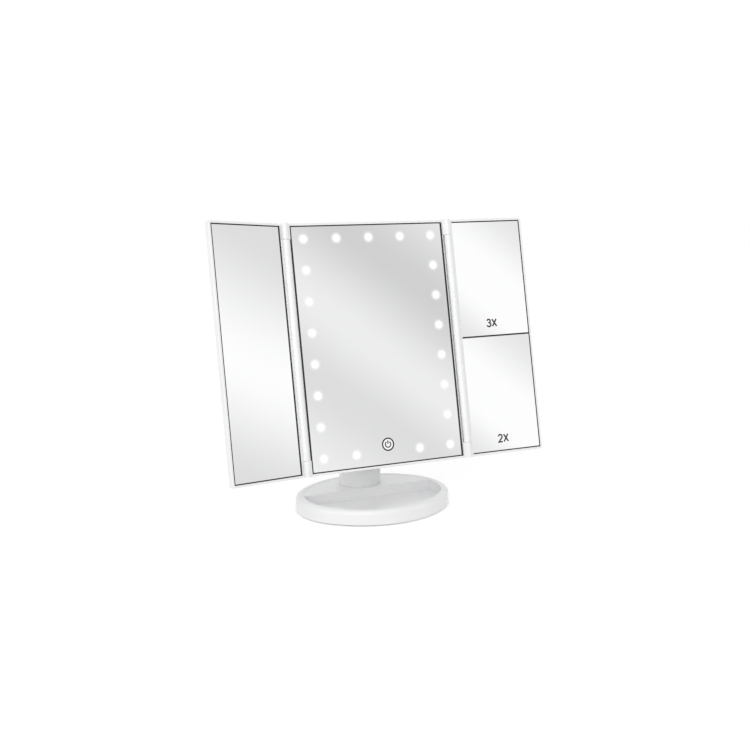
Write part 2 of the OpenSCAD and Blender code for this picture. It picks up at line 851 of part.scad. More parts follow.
// Repeats a feature at a panel's lower end at its upper end
module both_ends() {
    children();
    translate([0, 0, low + high]) mirror([0, 0, 1]) children();
}

module center_frame() {
    color(WHITE) head() {
        difference() {
            union() {
                difference() {
                    slab(-frame_x, frame_x, -lip_proud, cover_y, low, high, corner_r, front_round, EPS);
                    span([-win_x, -1, win_low], [win_x, partition_y, win_high]);
                    span([-frame_x + wall, partition_back, low + wall],
                        [frame_x - wall, panel_t, high - wall]);
                }
                both_sides() both_ends() knuckle();
                at_cover_screws() rod_y(boss_r, partition_back - EPS, cover_y);
                for (side = [-1, 1]) translate([side * touch_standoff_x, 0, touch_standoff_z])
                    rod_y(standoff_r, partition_back - EPS, touch_board_y);
                at_board_standoffs() rod_y(standoff_r, partition_back - EPS, board_y);
            }
            at_spots() rod_y(spot_d / 2 + FIT, 0, partition_back + 1);
            translate([0, 0, touch_z]) rod_y(touch_spring_r + 1, 0, partition_back + 1);
            at_cover_screws() rod_y(screw_r, partition_back + 1, panel_t);
            both_sides() both_ends() knuckle_bore();
            span([usb_x - usb_w / 2 - GAP, board_back - GAP, low - 1],
                [usb_x + usb_w / 2 + GAP, cover_y + 1, low + wall + 1]);
        }
    }
}

module center_mirror() {
    color(GLASS) head() difference() {
        span([-glass_x, 0, glass_low], [glass_x, glass_t, glass_high]);
        at_spots() rod_y(spot_d / 2 + FIT, -1, glass_t + 1);
    }
}

module center_seal() {
    win = [-win_x, win_x, win_low, win_high];
    pane = [-glass_x, glass_x, glass_low, glass_high];
    color(BLACK) head() ring(win, pane, lip_proud / 2, partition_y);
}

module center_tape() {
    pane = [-glass_x, glass_x, glass_low, glass_high];
    color(BLACK) head() difference() {
        ring(pane, inset(pane, tape_w), glass_t, partition_y);
        span([-touch_spring_r - 2, 0, touch_z - touch_spring_r - 2],
            [touch_spring_r + 2, panel_t, mirror_h / 2]);
        at_spots() rod_y(spot_d / 2 + 0.5, 0, panel_t);
    }
}

module light_lenses() {
    color(LAMP) head() at_spots() rod_y(spot_d / 2, 0, partition_back);
}

module led_chips() {
    color(LAMP) head() at_spots()
        span([-chip_w / 2, led_board_y - chip_t, -chip_h / 2], [chip_w / 2, led_board_y, chip_h / 2]);
}

module led_board() {
    outer = [-led_board_x, led_board_x, led_board_low, led_board_high];
    inner = [-led_board_x + led_strip_w, led_board_x - led_strip_w, led_bottom_strip,
        led_board_high - led_strip_w];
    color(BOARD_WHITE) head() difference() {
        ring(outer, inner, led_board_y, led_back);
        translate([0, 0, touch_z]) rod_y(touch_spring_r + 1, 0, panel_t);
        at_board_standoffs() rod_y(standoff_r + GAP, 0, panel_t);
    }
}

// The battery compartment's raised outer form
module bulge() {
    slab(-bulge_w / 2, bulge_w / 2, panel_t - 1, bulge_back, bulge_low, bulge_high, bulge_corner_r, EPS,
        bulge_round);
}

module rear_cover() {
    switch_slot_w = knob_w + switch_travel + 2 * GAP;
    color(WHITE) head() difference() {
        union() {
            slab(-frame_x, frame_x, cover_y, panel_t, low, high, corner_r, EPS, back_round);
            bulge();
            span([-bay_w / 2 - bay_wall, bay_floor_y, bay_z - bay_wall],
                [bay_w / 2 + bay_wall, bulge_back - bulge_round, bay_z + bay_h + bay_wall]);
            at_bracket_screws() rod_y(standoff_r + 0.6, cover_y - 2, cover_y + 1);
        }
        span([-bay_w / 2, bay_y, bay_z], [bay_w / 2, bulge_back + 1, bay_z + bay_h]);
        door_space(GAP);
        at_cover_screws() {
            rod_y(screw_r + GAP, 0, 2 * panel_t);
            rod_y(screw_head_r + GAP, panel_t - screw_head_t - 0.2, 2 * panel_t);
        }
        at_bracket_screws() rod_y(screw_r, cover_y - 3, 2 * panel_t);
        translate([switch_x, 0, switch_z]) {
            span([-switch_slot_w / 2 - 2, panel_t - recess_depth, -knob_h / 2 - 2],
                [switch_slot_w / 2 + 2, panel_t + 1, knob_h / 2 + 2]);
            span([-switch_slot_w / 2, 0, -knob_h / 2 - GAP],
                [switch_slot_w / 2, panel_t, knob_h / 2 + GAP]);
        }
    }
}

module rear_cover_screws() {
    color(STEEL) head() at_cover_screws() translate([0, panel_t - screw_head_t, 0]) rotate([90, 0, 0])
        screw(screw_r - FIT, panel_t - screw_head_t - partition_back - 1.5,
            screw_head_r, screw_head_t);
}

// Space that the battery door and its tongues take up, grown by g
module door_space(g) {
    span([-door_w / 2 - g, bay_back, door_low - g], [door_w / 2 + g, bulge_back + 1, bulge_high + 1]);
    span([-door_w / 2 - door_tongue - g, bay_back, door_low - g],
        [door_w / 2 + door_tongue + g, bay_back + GAP + door_tongue_t + g, bulge_high + 1]);
}

module battery_door() {
    ridge_z = bulge_high - 14;
    color(WHITE) head() difference() {
        intersection() {
            bulge();
            union() {
                span([-door_w / 2, bay_back + GAP, door_low], [door_w / 2, bulge_back, bulge_high]);
                span([-door_w / 2 - door_tongue, bay_back + GAP, door_low],
                    [door_w / 2 + door_tongue, bay_back + GAP + door_tongue_t, bulge_high]);
            }
        }
        for (i = [0 : 4]) translate([0, bulge_back, ridge_z - 2.4 * i]) rod_x(0.6, -9, 9);
    }
}

// Places children in the middle of each cell's place, turned over in every second one
module at_cells() {
    for (i = [0 : cells - 1])
        translate([(i - (cells - 1) / 2) * (cell_d + cell_gap), bay_y + cell_d / 2 + GAP,
            bay_z + bay_h / 2])
            mirror([0, 0, i % 2]) children();
}

module battery_cells() {
    body_l = cell_l - nub_h;
    color(STEEL) head() at_cells() translate([0, 0, -bay_h / 2 + contact_t + spring_h + FIT]) {
        cylinder(r = cell_d / 2, h = body_l);
        translate([0, 0, body_l]) cylinder(r = nub_r, h = nub_h);
    }
}

module battery_contacts() {
    plate = cell_d - 2;
    color(BRASS) head() at_cells() {
        for (end = [-1, 1]) translate([0, 0, end * (bay_h - contact_t) / 2])
            cube([plate, plate, contact_t], center = true);
        translate([0, 0, -bay_h / 2 + contact_t])
            cylinder(r1 = spring_root_r, r2 = spring_tip_r, h = spring_h);
    }
}

module touch_mark() {
    color(BLACK) head() translate([0, 0, touch_z]) rotate([90, 0, 0]) linear_extrude(INK_T) {
        difference() {
            circle(r = touch_r);
            circle(r = touch_r - ring_w);
        }
        difference() {
            circle(r = sign_r);
            circle(r = sign_r - sign_w);
            polygon([[0, 0], 2 * sign_r * [sin(sign_gap_deg), cos(sign_gap_deg)],
                2 * sign_r * [-sin(sign_gap_deg), cos(sign_gap_deg)]]);
        }
        translate([-sign_w / 2, sign_bar_low]) square([sign_w, sign_r]);
    }
}

module touch_spring() {
    color(BRASS) head() translate([0, 0, touch_z]) {
        rod_y(touch_spring_r, glass_t, glass_t + touch_pad_t);
        difference() {
            rod_y(touch_spring_r * 0.8, glass_t + touch_pad_t, touch_board_y);
            rod_y(touch_spring_r * 0.8 - 0.5, glass_t + touch_pad_t, touch_board_y + 1);
        }
    }
}

module touch_board() {
    color(BOARD_GREEN) head() {
        span([-touch_board_w / 2, touch_board_y, touch_board_low],
            [touch_board_w / 2, touch_board_y + touch_board_t, touch_board_low + touch_board_h]);
        translate([0, touch_board_y + touch_board_t, touch_z])
            span([-touch_chip_w / 2, 0, -touch_chip_h / 2],
                [touch_chip_w / 2, touch_chip_t, touch_chip_h / 2]);
    }
}

module control_board() {
    chip_x = board_x0 + 6;
    resistor_x = board_x0 + 18;
    color(BOARD_GREEN) head() {
        span([board_x0, board_y, 0], [board_x0 + board_w, board_back, board_h]);
        translate([chip_x, board_back, board_chip_z]) cube([board_chip_w, board_chip_t, board_chip_w]);
        translate([board_x0 + capacitor_x, 0, board_h / 2]) rod_y(capacitor_r, board_back, cover_y - GAP);
        for (i = [0 : 4]) translate([resistor_x + resistor_step * i, board_back, resistor_z])
            cube([resistor_w, resistor_t, resistor_h]);
    }
}

module usb_socket() {
    front = low + 0.1;
    color(STEEL) head() translate([usb_x, board_back, front]) {
        difference() {
            span([-usb_w / 2, 0, 0], [usb_w / 2, usb_t, usb_len]);
            span([-usb_w / 2 + usb_wall, usb_wall, -1],
                [usb_w / 2 - usb_wall, usb_t - usb_wall, usb_len - usb_wall]);
        }
        span([-usb_w / 2 + 2, usb_t / 2 - usb_tongue_t / 2, 1],
            [usb_w / 2 - 2, usb_t / 2 + usb_tongue_t / 2, usb_len]);
    }
}

module power_switch_body() {
    slot_w = knob_w + switch_travel + 2 * GAP;
    color(BLACK) head() translate([switch_x, 0, switch_z]) difference() {
        span([-switch_w / 2, cover_y - switch_t, -switch_h / 2], [switch_w / 2, cover_y, switch_h / 2]);
        span([-slot_w / 2, cover_y - 1.5, -knob_h / 2 - GAP], [slot_w / 2, cover_y + 1, knob_h / 2 + GAP]);
    }
}

module power_switch_knob() {
    left = switch_x - switch_travel / 2 - knob_w / 2;
    color(BLACK) head() difference() {
        span([left, cover_y - 1.5 + GAP, switch_z - knob_h / 2],
            [left + knob_w, panel_t - 0.1, switch_z + knob_h / 2]);
        for (i = [1 : 3]) translate([left + i * knob_w / 4, panel_t - 0.1, switch_z])
            rotate([0, 0, 45]) cube([0.5, 0.5, 2 * knob_h], center = true);
    }
}

module wiring() {
    r = 0.5;
    y = (board_y + board_back) / 2;
    step = 3;
    bend = 2;
    foot = bay_z - bay_wall;
    color([0.7, 0.1, 0.1]) head() {
        for (i = [0, 1]) {
            bent_wire(bay_w / 2 - step - step * i, foot, board_x0 + step + step * i, board_h,
                (foot + board_h) / 2 - step * i + step / 2, y, bend, r);
            translate([0, board_back + r, switch_z + (i - 0.5) * step])
                rod_x(r, switch_x + switch_w / 2, board_x0 + step);
            translate([0, board_y + r / 2, touch_board_low + step * (i + 1)])
                rod_x(r, touch_board_w / 2, board_x0);
            translate([board_x0 + board_w - step * (i + 1), 0, switch_z - step])
                rod_y(r, led_back, board_y);
        }
    }
}

// ---------------------------------------------------------------- hinge pins

module hinge_pins() {
    both_ends() {
        hinge_axis_rod(pin_r, low + 0.2, low + knuckle_h + hinge_gap + pin_depth);
        hinge_axis_rod(pin_head_r, low + 0.2, low + pin_head_t);
    }
}

module left_hinge_pins() {
    color(STEEL) head() mirror([1, 0, 0]) hinge_pins();
}

module right_hinge_pins() {
    color(STEEL) head() hinge_pins();
}

// ---------------------------------------------------------------- wings

// A round feature on the wing's hinge axis, between two heights above the panel's lower edge
module wing_axis_rod(r, z0, z1) {
    translate([0, -hinge_proud, z0]) cylinder(r = r, h = z1 - z0);
}

function wing_window() = [wing_win_in, wing_win_out, win_low, win_high];
function wing_pane() = [wing_glass_in, wing_glass_out, glass_low, glass_high];
// The right wing has no seal beside the hinge: its panes meet the frame there
function right_window() = [wing_glass_in, wing_win_out, win_low, win_high];

module wing_frame(window) {
    opening = inset(window, ledge_w);
    difference() {
        union() {
            slab(wing_in, wing_out, -lip_proud, wing_frame_back, low, high, corner_r, front_round, EPS);
            wing_axis_rod(hinge_r, barrel_low, barrel_high);
            span([-web_out, -lip_proud, barrel_low], [wing_in + front_round, wing_frame_back, barrel_high]);
            span([-web_out, wing_frame_back - EPS, barrel_low], [wing_in, wing_t, barrel_high]);
        }
        span([window[0], -1, window[2]], [window[1], ledge_y, window[3]]);
        span([opening[0], 0, opening[2]], [opening[1], wing_t + 1, opening[3]]);
        both_ends() wing_axis_rod(bush_r, barrel_low - 1, barrel_low + pin_depth + 2);
    }
}

module wing_back_cover() {
    slab(wing_in, wing_out, wing_frame_back, wing_t, low, high, corner_r, EPS, wing_round);
}

module wing_bushes() {
    both_ends() difference() {
        wing_axis_rod(bush_r, barrel_low + GAP, barrel_low + pin_depth + 2);
        wing_axis_rod(pin_r + FIT, barrel_low - 1, barrel_low + pin_depth + 3);
    }
}

module left_frame() {
    color(WHITE) left_wing() wing_frame(wing_window());
}

module left_back_cover() {
    color(WHITE) left_wing() wing_back_cover();
}

module left_mirror() {
    pane = wing_pane();
    color(GLASS) left_wing() span([pane[0], 0, pane[2]], [pane[1], glass_t, pane[3]]);
}

module left_seal() {
    color(BLACK) left_wing() ring(wing_window(), wing_pane(), lip_proud / 2, ledge_y);
}

module left_tape() {
    color(BLACK) left_wing() ring(wing_pane(), inset(wing_pane(), ledge_w - seal_hinge), glass_t, ledge_y);
}

module left_bushes() {
    color(BRASS) left_wing() wing_bushes();
}

module right_frame() {
    color(WHITE) right_wing() {
        wing_frame(right_window());
        span([wing_glass_in - EPS, ledge_y, divider_z - ledge_w],
            [wing_win_out + EPS, wing_frame_back, divider_z + ledge_w]);
    }
}

module right_back_cover() {
    color(WHITE) right_wing() wing_back_cover();
}

// A box round one magnifying pane: its near, far, low and high edges
function magnifier_pane(z0, z1) = [wing_glass_in, wing_glass_out, z0, z1];
function lower_pane() = magnifier_pane(glass_low, divider_z - divider_w / 2);
function upper_pane() = magnifier_pane(divider_z + divider_w / 2, glass_high);

// How far a pane's corners lie from its middle
function half_diagonal(pane) = norm([pane[1] - pane[0], pane[3] - pane[2]]) / 2;

// Depth of a magnifying pane's curved back, at a distance from the pane's middle
function back_depth(pane, curve_r, away) = magnifier_edge_t + sqrt(pow(curve_r, 2) - pow(away, 2))
    - sqrt(pow(curve_r, 2) - pow(half_diagonal(pane), 2));

// A magnifying pane: a flat face, and a silvered back whose curve is turned in narrow bands
module magnifier(pane, curve_r) {
    reach = half_diagonal(pane) + 1;
    section = [for (i = [0 : back_bands]) [reach * i / back_bands,
        back_depth(pane, curve_r, reach * i / back_bands)]];
    intersection() {
        span([pane[0], 0, pane[2]], [pane[1], wing_t, pane[3]]);
        translate([(pane[0] + pane[1]) / 2, 0, (pane[2] + pane[3]) / 2]) rotate([-90, 0, 0])
            rotate_extrude($fn = CURVE_FN) polygon(concat([[reach, 0], [0, 0]], section));
    }
}

// Foam pads along a pane's edges, each as thick as the space between its curved back and the frame's ledge
module magnifier_pads(pane, curve_r) {
    size = [pad_long, ledge_w - 1];
    mid = [(pane[0] + pane[1]) / 2, (pane[2] + pane[3]) / 2];
    reach = [(pane[1] - pane[0]) / 2, (pane[3] - pane[2]) / 2];
    for (sx = [-1, 1]) for (sz = [-1, 1]) {
        for (i = [0 : 1]) {
            far = reach[0] - i * pad_step;
            y = back_depth(pane, curve_r, norm([far - size[0], reach[1] - size[1]]));
            translate([mid[0], 0, mid[1]]) mirror([(1 - sx) / 2, 0, 0]) mirror([0, 0, (1 - sz) / 2])
                span([far - size[0], y + FIT, reach[1] - size[1]], [far, ledge_y, reach[1]]);
        }
        for (i = [1 : 3]) {
            far = reach[1] - i * pad_step;
            y = back_depth(pane, curve_r, norm([reach[0] - size[1], far - size[0]]));
            translate([mid[0], 0, mid[1]]) mirror([(1 - sx) / 2, 0, 0]) mirror([0, 0, (1 - sz) / 2])
                span([reach[0] - size[1], y + FIT, far - size[0]], [reach[0], ledge_y, far]);
        }
    }
}

module upper_magnifier() {
    color(GLASS) right_wing() magnifier(upper_pane(), upper_curve_r);
}

module lower_magnifier() {
    color(GLASS) right_wing() magnifier(lower_pane(), lower_curve_r);
}

module right_seal() {
    color(BLACK) right_wing() {
        ring(right_window(), [wing_glass_in - 1, wing_glass_out, glass_low, glass_high],
            lip_proud / 2, ledge_y);
        span([wing_glass_in, lip_proud / 2, divider_z - divider_w / 2],
            [wing_glass_out, ledge_y, divider_z + divider_w / 2]);
    }
}

module right_pads() {
    color(BLACK) right_wing() {
        magnifier_pads(upper_pane(), upper_curve_r);
        magnifier_pads(lower_pane(), lower_curve_r);
    }
}

module right_bushes() {
    color(BRASS) right_wing() wing_bushes();
}

base_shell();
base_bottom_plate();
base_pad();
base_screws();
ballast_plate();
neck();
neck_screws();
tilt_shaft();
tilt_washers();
tilt_spring_washers();
tilt_nut();
tilt_caps();
tilt_bracket();
bracket_screws();
center_frame();
rear_cover();
rear_cover_screws();
center_mirror();
center_seal();
center_tape();
light_lenses();
led_chips();
led_board();
touch_mark();
touch_spring();
touch_board();
control_board();
usb_socket();
power_switch_body();
power_switch_knob();
battery_cells();
battery_contacts();
battery_door();
wiring();
left_hinge_pins();
right_hinge_pins();
left_frame();
left_back_cover();
left_mirror();
left_seal();
left_tape();
left_bushes();
right_frame();
right_back_cover();
upper_magnifier();
lower_magnifier();
right_seal();
right_pads();
right_bushes();
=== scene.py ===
import json
import math

import bmesh
import bpy
from bpy.props import FloatProperty, FloatVectorProperty, PointerProperty
from bpy.types import Operator, Panel, PropertyGroup
from mathutils import Matrix, Vector
from mathutils.bvhtree import BVHTree


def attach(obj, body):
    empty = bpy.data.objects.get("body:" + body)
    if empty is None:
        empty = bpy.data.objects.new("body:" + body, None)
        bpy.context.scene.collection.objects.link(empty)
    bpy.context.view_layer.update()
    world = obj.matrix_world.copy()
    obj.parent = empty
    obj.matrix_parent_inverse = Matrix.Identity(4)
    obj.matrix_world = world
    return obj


bl_info = {
    "name": "Trifold Vanity Mirror",
    "version": (1, 0, 0),
    "blender": (4, 5, 0),
    "location": "View3D > Sidebar > Mirror",
    "description": "Finishes a tabletop vanity mirror with two folding wings and sets it on a plain stage",
    "category": "Object",
}

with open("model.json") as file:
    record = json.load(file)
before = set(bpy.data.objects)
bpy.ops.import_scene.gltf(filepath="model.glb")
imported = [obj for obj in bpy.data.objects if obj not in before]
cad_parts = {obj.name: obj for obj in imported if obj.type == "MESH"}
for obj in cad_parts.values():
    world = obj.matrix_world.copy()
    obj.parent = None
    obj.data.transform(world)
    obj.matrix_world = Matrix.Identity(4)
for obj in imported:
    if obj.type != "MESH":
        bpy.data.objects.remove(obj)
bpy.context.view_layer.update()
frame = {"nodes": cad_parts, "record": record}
JOINTS = {joint["name"]: joint for joint in frame["record"]["behaviour"]["joints"]}
SLOTS = {part["node"]: part["material_slot"] for part in frame["record"]["subparts"]}

MM = 0.001
# The head leans back about its tilt joint; its glass face and its bottom line lie this far from that axis
AXIS_BACK = 28 * MM
AXIS_UP = 28 * MM
# The wings' joints are placed this far up the hinge axes
JOINT_UP = 115 * MM
LEFT_FOLD = math.radians(19.5)
RIGHT_FOLD = math.radians(2.2)
HINGE_PROUD = 2.1 * MM
WORLD_X = Vector((1, 0, 0))
UP = Vector(JOINTS["left_wing_fold"]["axis"]).normalized()
FORWARD = Vector((0, -UP.z, UP.y))
HEAD_ORIGIN = Vector(JOINTS["head_tilt"]["pos_m"]) + FORWARD * AXIS_BACK - UP * AXIS_UP

# Light spots on the centre mirror, in millimetres from its bottom line and its middle
SPOT_STEP_X = 33.5
SPOT_LOW = 12.2
SPOT_HIGH = 218.0
SPOT_R = 3.8
# Inside this distance from its middle a spot is fully lit
SPOT_CORE = 1.9
# Columns on each side of the middle one, and rows above the lowest one
SPOT_COLUMNS_HALF = 2
SPOT_ROWS = 7
# The glow of a lens outside the soft light, as a share of its middle's
LENS_RIM = 0.5
SPOT_STEP_Z = (SPOT_HIGH - SPOT_LOW) / SPOT_ROWS
TOUCH_Z = 19.0
TOUCH_R = 6.5
# How far the lit touch button fades inside and outside its ring
TOUCH_FADE_IN = 0.6
TOUCH_FADE_OUT = 1.0

# Tones of the painted reflection on the silvered panes, as display levels of 255: a plain studio painted into
# the glass's colour as a reflection, from its brightest part to its darkest
BRIGHT, PALE, SOFT, DIM, DEEP = 253, 237, 230, 221, 208
# Heights along each pane's slanted band of painted reflection, in millimetres, with the tone there, and the
# slants of the bands
CENTRE_REFLECTION_TONES = ((-60, PALE), (38, DIM), (108, PALE), (206, DEEP), (304, SOFT))
LEFT_REFLECTION_TONES = ((-40, DIM), (80, BRIGHT), (212, DIM))
MAGNIFIER_REFLECTION_TONES = ((0, SOFT), (58, BRIGHT), (95, BRIGHT), (172, SOFT))
CENTRE_REFLECTION_SLOPE, LEFT_REFLECTION_SLOPE, MAGNIFIER_REFLECTION_SLOPE = 0.78, -0.45, 0.85
UPPER_PANE_LOW, LOWER_PANE_LOW = 122.0, 5.0

# Printed marks: their places on the right wing, and the lift and thickness of the ink on the glass
UPPER_MARK_PLACE = (34.4 * MM, 123.5 * MM)
LOWER_MARK_PLACE = (34.9 * MM, 7.8 * MM)
INK_LIFT = 0.06 * MM
INK_THICKNESS = 0.04 * MM
# Lines that cross lie this far apart in height, so that no two of their faces share a plane
INK_STEP = 0.004 * MM

# Lamps of the stage: name, the setting that holds the power, side of the square in metres, place
LAMPS = (
    ("key lamp", "key_level", 1.4, (-2.3, -1.0, 1.0)),
    ("front lamp", "front_level", 1.6, (-1.1, -2.2, 1.35)),
    ("fill lamp", "fill_level", 1.4, (2.3, -0.4, 1.5)),
    ("back lamp", "fill_level", 1.4, (0.2, 2.3, 1.7)),
)
LAMP_AIM = Vector((0, 0, 0.12))
FLOOR_DROP = 0.2 * MM


# ------------------------------------------------------------------ settings

class MouldingSettings(PropertyGroup):
    """Colours and surface of the moulded plastic"""
    body_colour: FloatVectorProperty(
        name="Body colour", description="Colour of the white gloss mouldings", subtype="COLOR", size=3,
        min=0, max=1, default=(0.87, 0.872, 0.875))
    underside_colour: FloatVectorProperty(
        name="Underside colour", description="Colour of the light grey bottom plate", subtype="COLOR", size=3,
        min=0, max=1, default=(0.7, 0.7, 0.715))
    gloss: FloatProperty(
        name="Body roughness", description="Roughness of the white mouldings", min=0, max=1, default=0.24,
        subtype="FACTOR")
    grain: FloatProperty(
        name="Mould grain", description="Size of the faint mould grain", min=0.0002, max=0.01, default=0.0014,
        unit="LENGTH")


class GlassSettings(PropertyGroup):
    """Tone of the silvered panes"""
    polish: FloatProperty(
        name="Mirror roughness", description="Roughness of the clean glass", min=0, max=0.3, default=0.025,
        subtype="FACTOR")
    halo: FloatProperty(
        name="Light halo", description="Width of the lit ring round each light spot", min=0.0005, max=0.01,
        default=0.003, unit="LENGTH")
    lamp_colour: FloatVectorProperty(
        name="Lamp colour", description="Colour of the lit spots", subtype="COLOR", size=3, min=0, max=1,
        default=(1.0, 0.995, 0.985))
    lamp_level: FloatProperty(
        name="Lamp level", description="Brightness of the lit spots", min=0, max=4, default=0.9)


class MarkSettings(PropertyGroup):
    """Sizes of the two printed magnification marks"""
    height: FloatProperty(
        name="Mark height", description="Height of a printed sign", min=0.002, max=0.02, default=0.0088,
        unit="LENGTH")
    stroke: FloatProperty(
        name="Stroke width", description="Width of a printed line", min=0.0003, max=0.003, default=0.0015,
        unit="LENGTH")
    ink_colour: FloatVectorProperty(
        name="Ink colour", description="Colour of the printed marks", subtype="COLOR", size=3, min=0, max=1,
        default=(0.008, 0.008, 0.009))


class StageSettings(PropertyGroup):
    """Floor, light and camera"""
    floor_size: FloatProperty(
        name="Floor size", description="Side of the square floor", min=1, max=40, default=3, unit="LENGTH")
    sky_level: FloatProperty(
        name="Sky level", description="Strength of the even light from all round", min=0, max=2, default=0.72)
    key_level: FloatProperty(
        name="Key light", description="Power of the large soft lamp on the left", min=0, max=200, default=8,
        unit="POWER")
    front_level: FloatProperty(
        name="Front light", description="Power of the large soft lamp in front", min=0, max=200, default=19,
        unit="POWER")
    fill_level: FloatProperty(
        name="Fill light", description="Power of the soft lamps on the right and behind", min=0, max=200,
        default=1, unit="POWER")
    floor_lift: FloatProperty(
        name="Floor lift", description="How far the floor is lightened where it is seen", min=0, max=1,
        default=0.33)
    camera_turn: FloatProperty(
        name="Camera turn", description="Direction of the camera round the object", subtype="ANGLE",
        default=math.radians(-25.5))
    camera_rise: FloatProperty(
        name="Camera rise", description="Height of the camera above the horizon", subtype="ANGLE",
        default=math.radians(12.1))
    camera_roll: FloatProperty(
        name="Camera roll", description="Lean of the camera", subtype="ANGLE", default=math.radians(0.76))
    camera_distance: FloatProperty(
        name="Camera distance", description="Distance from the camera to its aim", min=0.2, max=10,
        default=1.1014, unit="LENGTH")
    camera_aim: FloatVectorProperty(
        name="Camera aim", description="Point in the middle of the picture", size=3, subtype="TRANSLATION",
        unit="LENGTH", default=(0.00035, 0.0, 0.1322))
    camera_lens: FloatProperty(
        name="Camera lens", description="Focal length in millimetres", min=10, max=300, default=54.653,
        unit="CAMERA")


# ------------------------------------------------------------------ node helpers

class Sheet:
    """Adds and joins the nodes of one material or node group."""

    def __init__(self, tree):
        self.tree = tree
        self.count = 0

    def add(self, kind, settings=None, **inputs):
        """Adds a node. settings are its own options, and each input is a value or another node's socket."""
        node = self.tree.nodes.new(kind)
        node.location = (220 * (self.count % 9), -260 * (self.count // 9))
        self.count += 1
        for name, value in (settings or {}).items():
            setattr(node, name, value)
        for name, value in inputs.items():
            self.feed(node, name, value)
        return node

    def feed(self, node, name, value):
        socket = node.inputs[int(name[1:])] if name[0] == "i" and name[1:].isdigit() \
            else node.inputs[name.replace("_", " ")]
        if isinstance(value, bpy.types.NodeSocket):
            self.tree.links.new(value, socket)
        else:
            socket.default_value = value

    def math(self, operation, a, b=None, c=None, clamp=False):
        values = {f"i{k}": v for k, v in enumerate((a, b, c)) if v is not None}
        node = self.add("ShaderNodeMath", {"operation": operation, "use_clamp": clamp}, **values)
        return node.outputs[0]

    def dot(self, a, b):
        node = self.add("ShaderNodeVectorMath", {"operation": "DOT_PRODUCT"}, i0=a, i1=b)
        return node.outputs["Value"]

    def mix(self, factor, a, b, blend="MIX"):
        """Mixes two colours."""
        node = self.add("ShaderNodeMix", {"data_type": "RGBA", "blend_type": blend}, i0=factor, i6=a, i7=b)
        return node.outputs[2]

    def remap(self, value, low, high, to_low=0.0, to_high=1.0, smooth=False):
        settings = {"interpolation_type": "SMOOTHSTEP"} if smooth else {}
        node = self.add("ShaderNodeMapRange", settings, Value=value, From_Min=low, From_Max=high,
                        To_Min=to_low, To_Max=to_high)
        return node.outputs[0]

    def noise(self, vector, scale, detail=2.0, roughness=0.5):
        node = self.add("ShaderNodeTexNoise", {}, Vector=vector, Scale=scale, Detail=detail,
                        Roughness=roughness)
        return node.outputs[0]

    def length(self, a, b):
        """The length of a step of a across and b up."""
        return self.math("SQRT", self.math("ADD", self.math("MULTIPLY", a, a), self.math("MULTIPLY", b, b)))

    def place(self):
        """The point's own place on its piece, at rest."""
        return self.add("ShaderNodeTexCoord").outputs["Object"]

    def ramp(self, value, stops, interpolation="B_SPLINE"):
        """A colour ramp: stops are (place from 0 to 1, colour)."""
        node = self.add("ShaderNodeValToRGB", {}, Fac=value)
        band = node.color_ramp
        band.interpolation = interpolation
        while len(band.elements) < len(stops):
            band.elements.new(0.5)
        for element, (where, colour) in zip(band.elements, stops):
            element.position = where
            element.color = (*colour, 1)
        return node.outputs[0]


def node_group(name, inputs, outputs, build):
    """Makes a shader node group once, with named sockets, and gives it back after that."""
    if name in bpy.data.node_groups:
        return bpy.data.node_groups[name]
    group = bpy.data.node_groups.new(name, "ShaderNodeTree")
    for label, kind, default in inputs:
        socket = group.interface.new_socket(label, in_out="INPUT", socket_type=kind)
        socket.default_value = default
    for label, kind in outputs:
        group.interface.new_socket(label, in_out="OUTPUT", socket_type=kind)
    sheet = Sheet(group)
    source = sheet.add("NodeGroupInput").outputs
    results = build(sheet, source)
    sheet.add("NodeGroupOutput", {}, **{f"i{k}": value for k, value in enumerate(results)})
    return group


FLOAT, COLOUR, VECTOR = "NodeSocketFloat", "NodeSocketColor", "NodeSocketVector"


def moulded_skin():
    """Faint tone change, uneven gloss and grain of injection-moulded plastic."""
    def build(sheet, source):
        place = sheet.place()
        slow = sheet.noise(place, 26.0, 3.0)
        fine = sheet.noise(place, source["Grain Scale"], 2.0, 0.6)
        shaded = sheet.mix(1.0, source["Colour"], source["Shade Colour"], "MULTIPLY")
        tone = sheet.mix(sheet.remap(slow, 0.3, 0.7), source["Colour"], shaded)
        uneven = sheet.math("MULTIPLY", sheet.math("SUBTRACT", slow, 0.5), source["Gloss Change"])
        gloss = sheet.math("ADD", source["Roughness"], uneven, clamp=True)
        return tone, gloss, fine
    return node_group("Moulded Skin", [
        ("Colour", COLOUR, (0.8, 0.8, 0.8, 1)), ("Shade Colour", COLOUR, (0.97, 0.97, 0.975, 1)),
        ("Roughness", FLOAT, 0.3), ("Gloss Change", FLOAT, 0.12), ("Grain Scale", FLOAT, 700.0),
    ], [("Colour", COLOUR), ("Roughness", FLOAT), ("Height", FLOAT)], build)


def handling_marks():
    """Mask of wipe marks and faint smears left by handling."""
    def build(sheet, source):
        place = sheet.place()
        drift = sheet.noise(place, source["Scale"], 4.0, 0.62)
        patch = sheet.remap(drift, 0.5, 0.78, smooth=True)
        wipe_place = sheet.add("ShaderNodeMapping", {}, Vector=place, Rotation=(0.3, 0.2, 0.5),
                               Scale=(1.0, 1.0, 9.0)).outputs[0]
        finer = sheet.math("MULTIPLY", source["Scale"], 1.6)
        wipe = sheet.remap(sheet.noise(wipe_place, finer, 3.0), 0.42, 0.75)
        return (sheet.math("MULTIPLY", sheet.math("MULTIPLY", patch, wipe), source["Amount"], clamp=True),)
    return node_group("Handling Marks", [("Scale", FLOAT, 30.0), ("Amount", FLOAT, 1.0)],
                      [("Mask", FLOAT)], build)


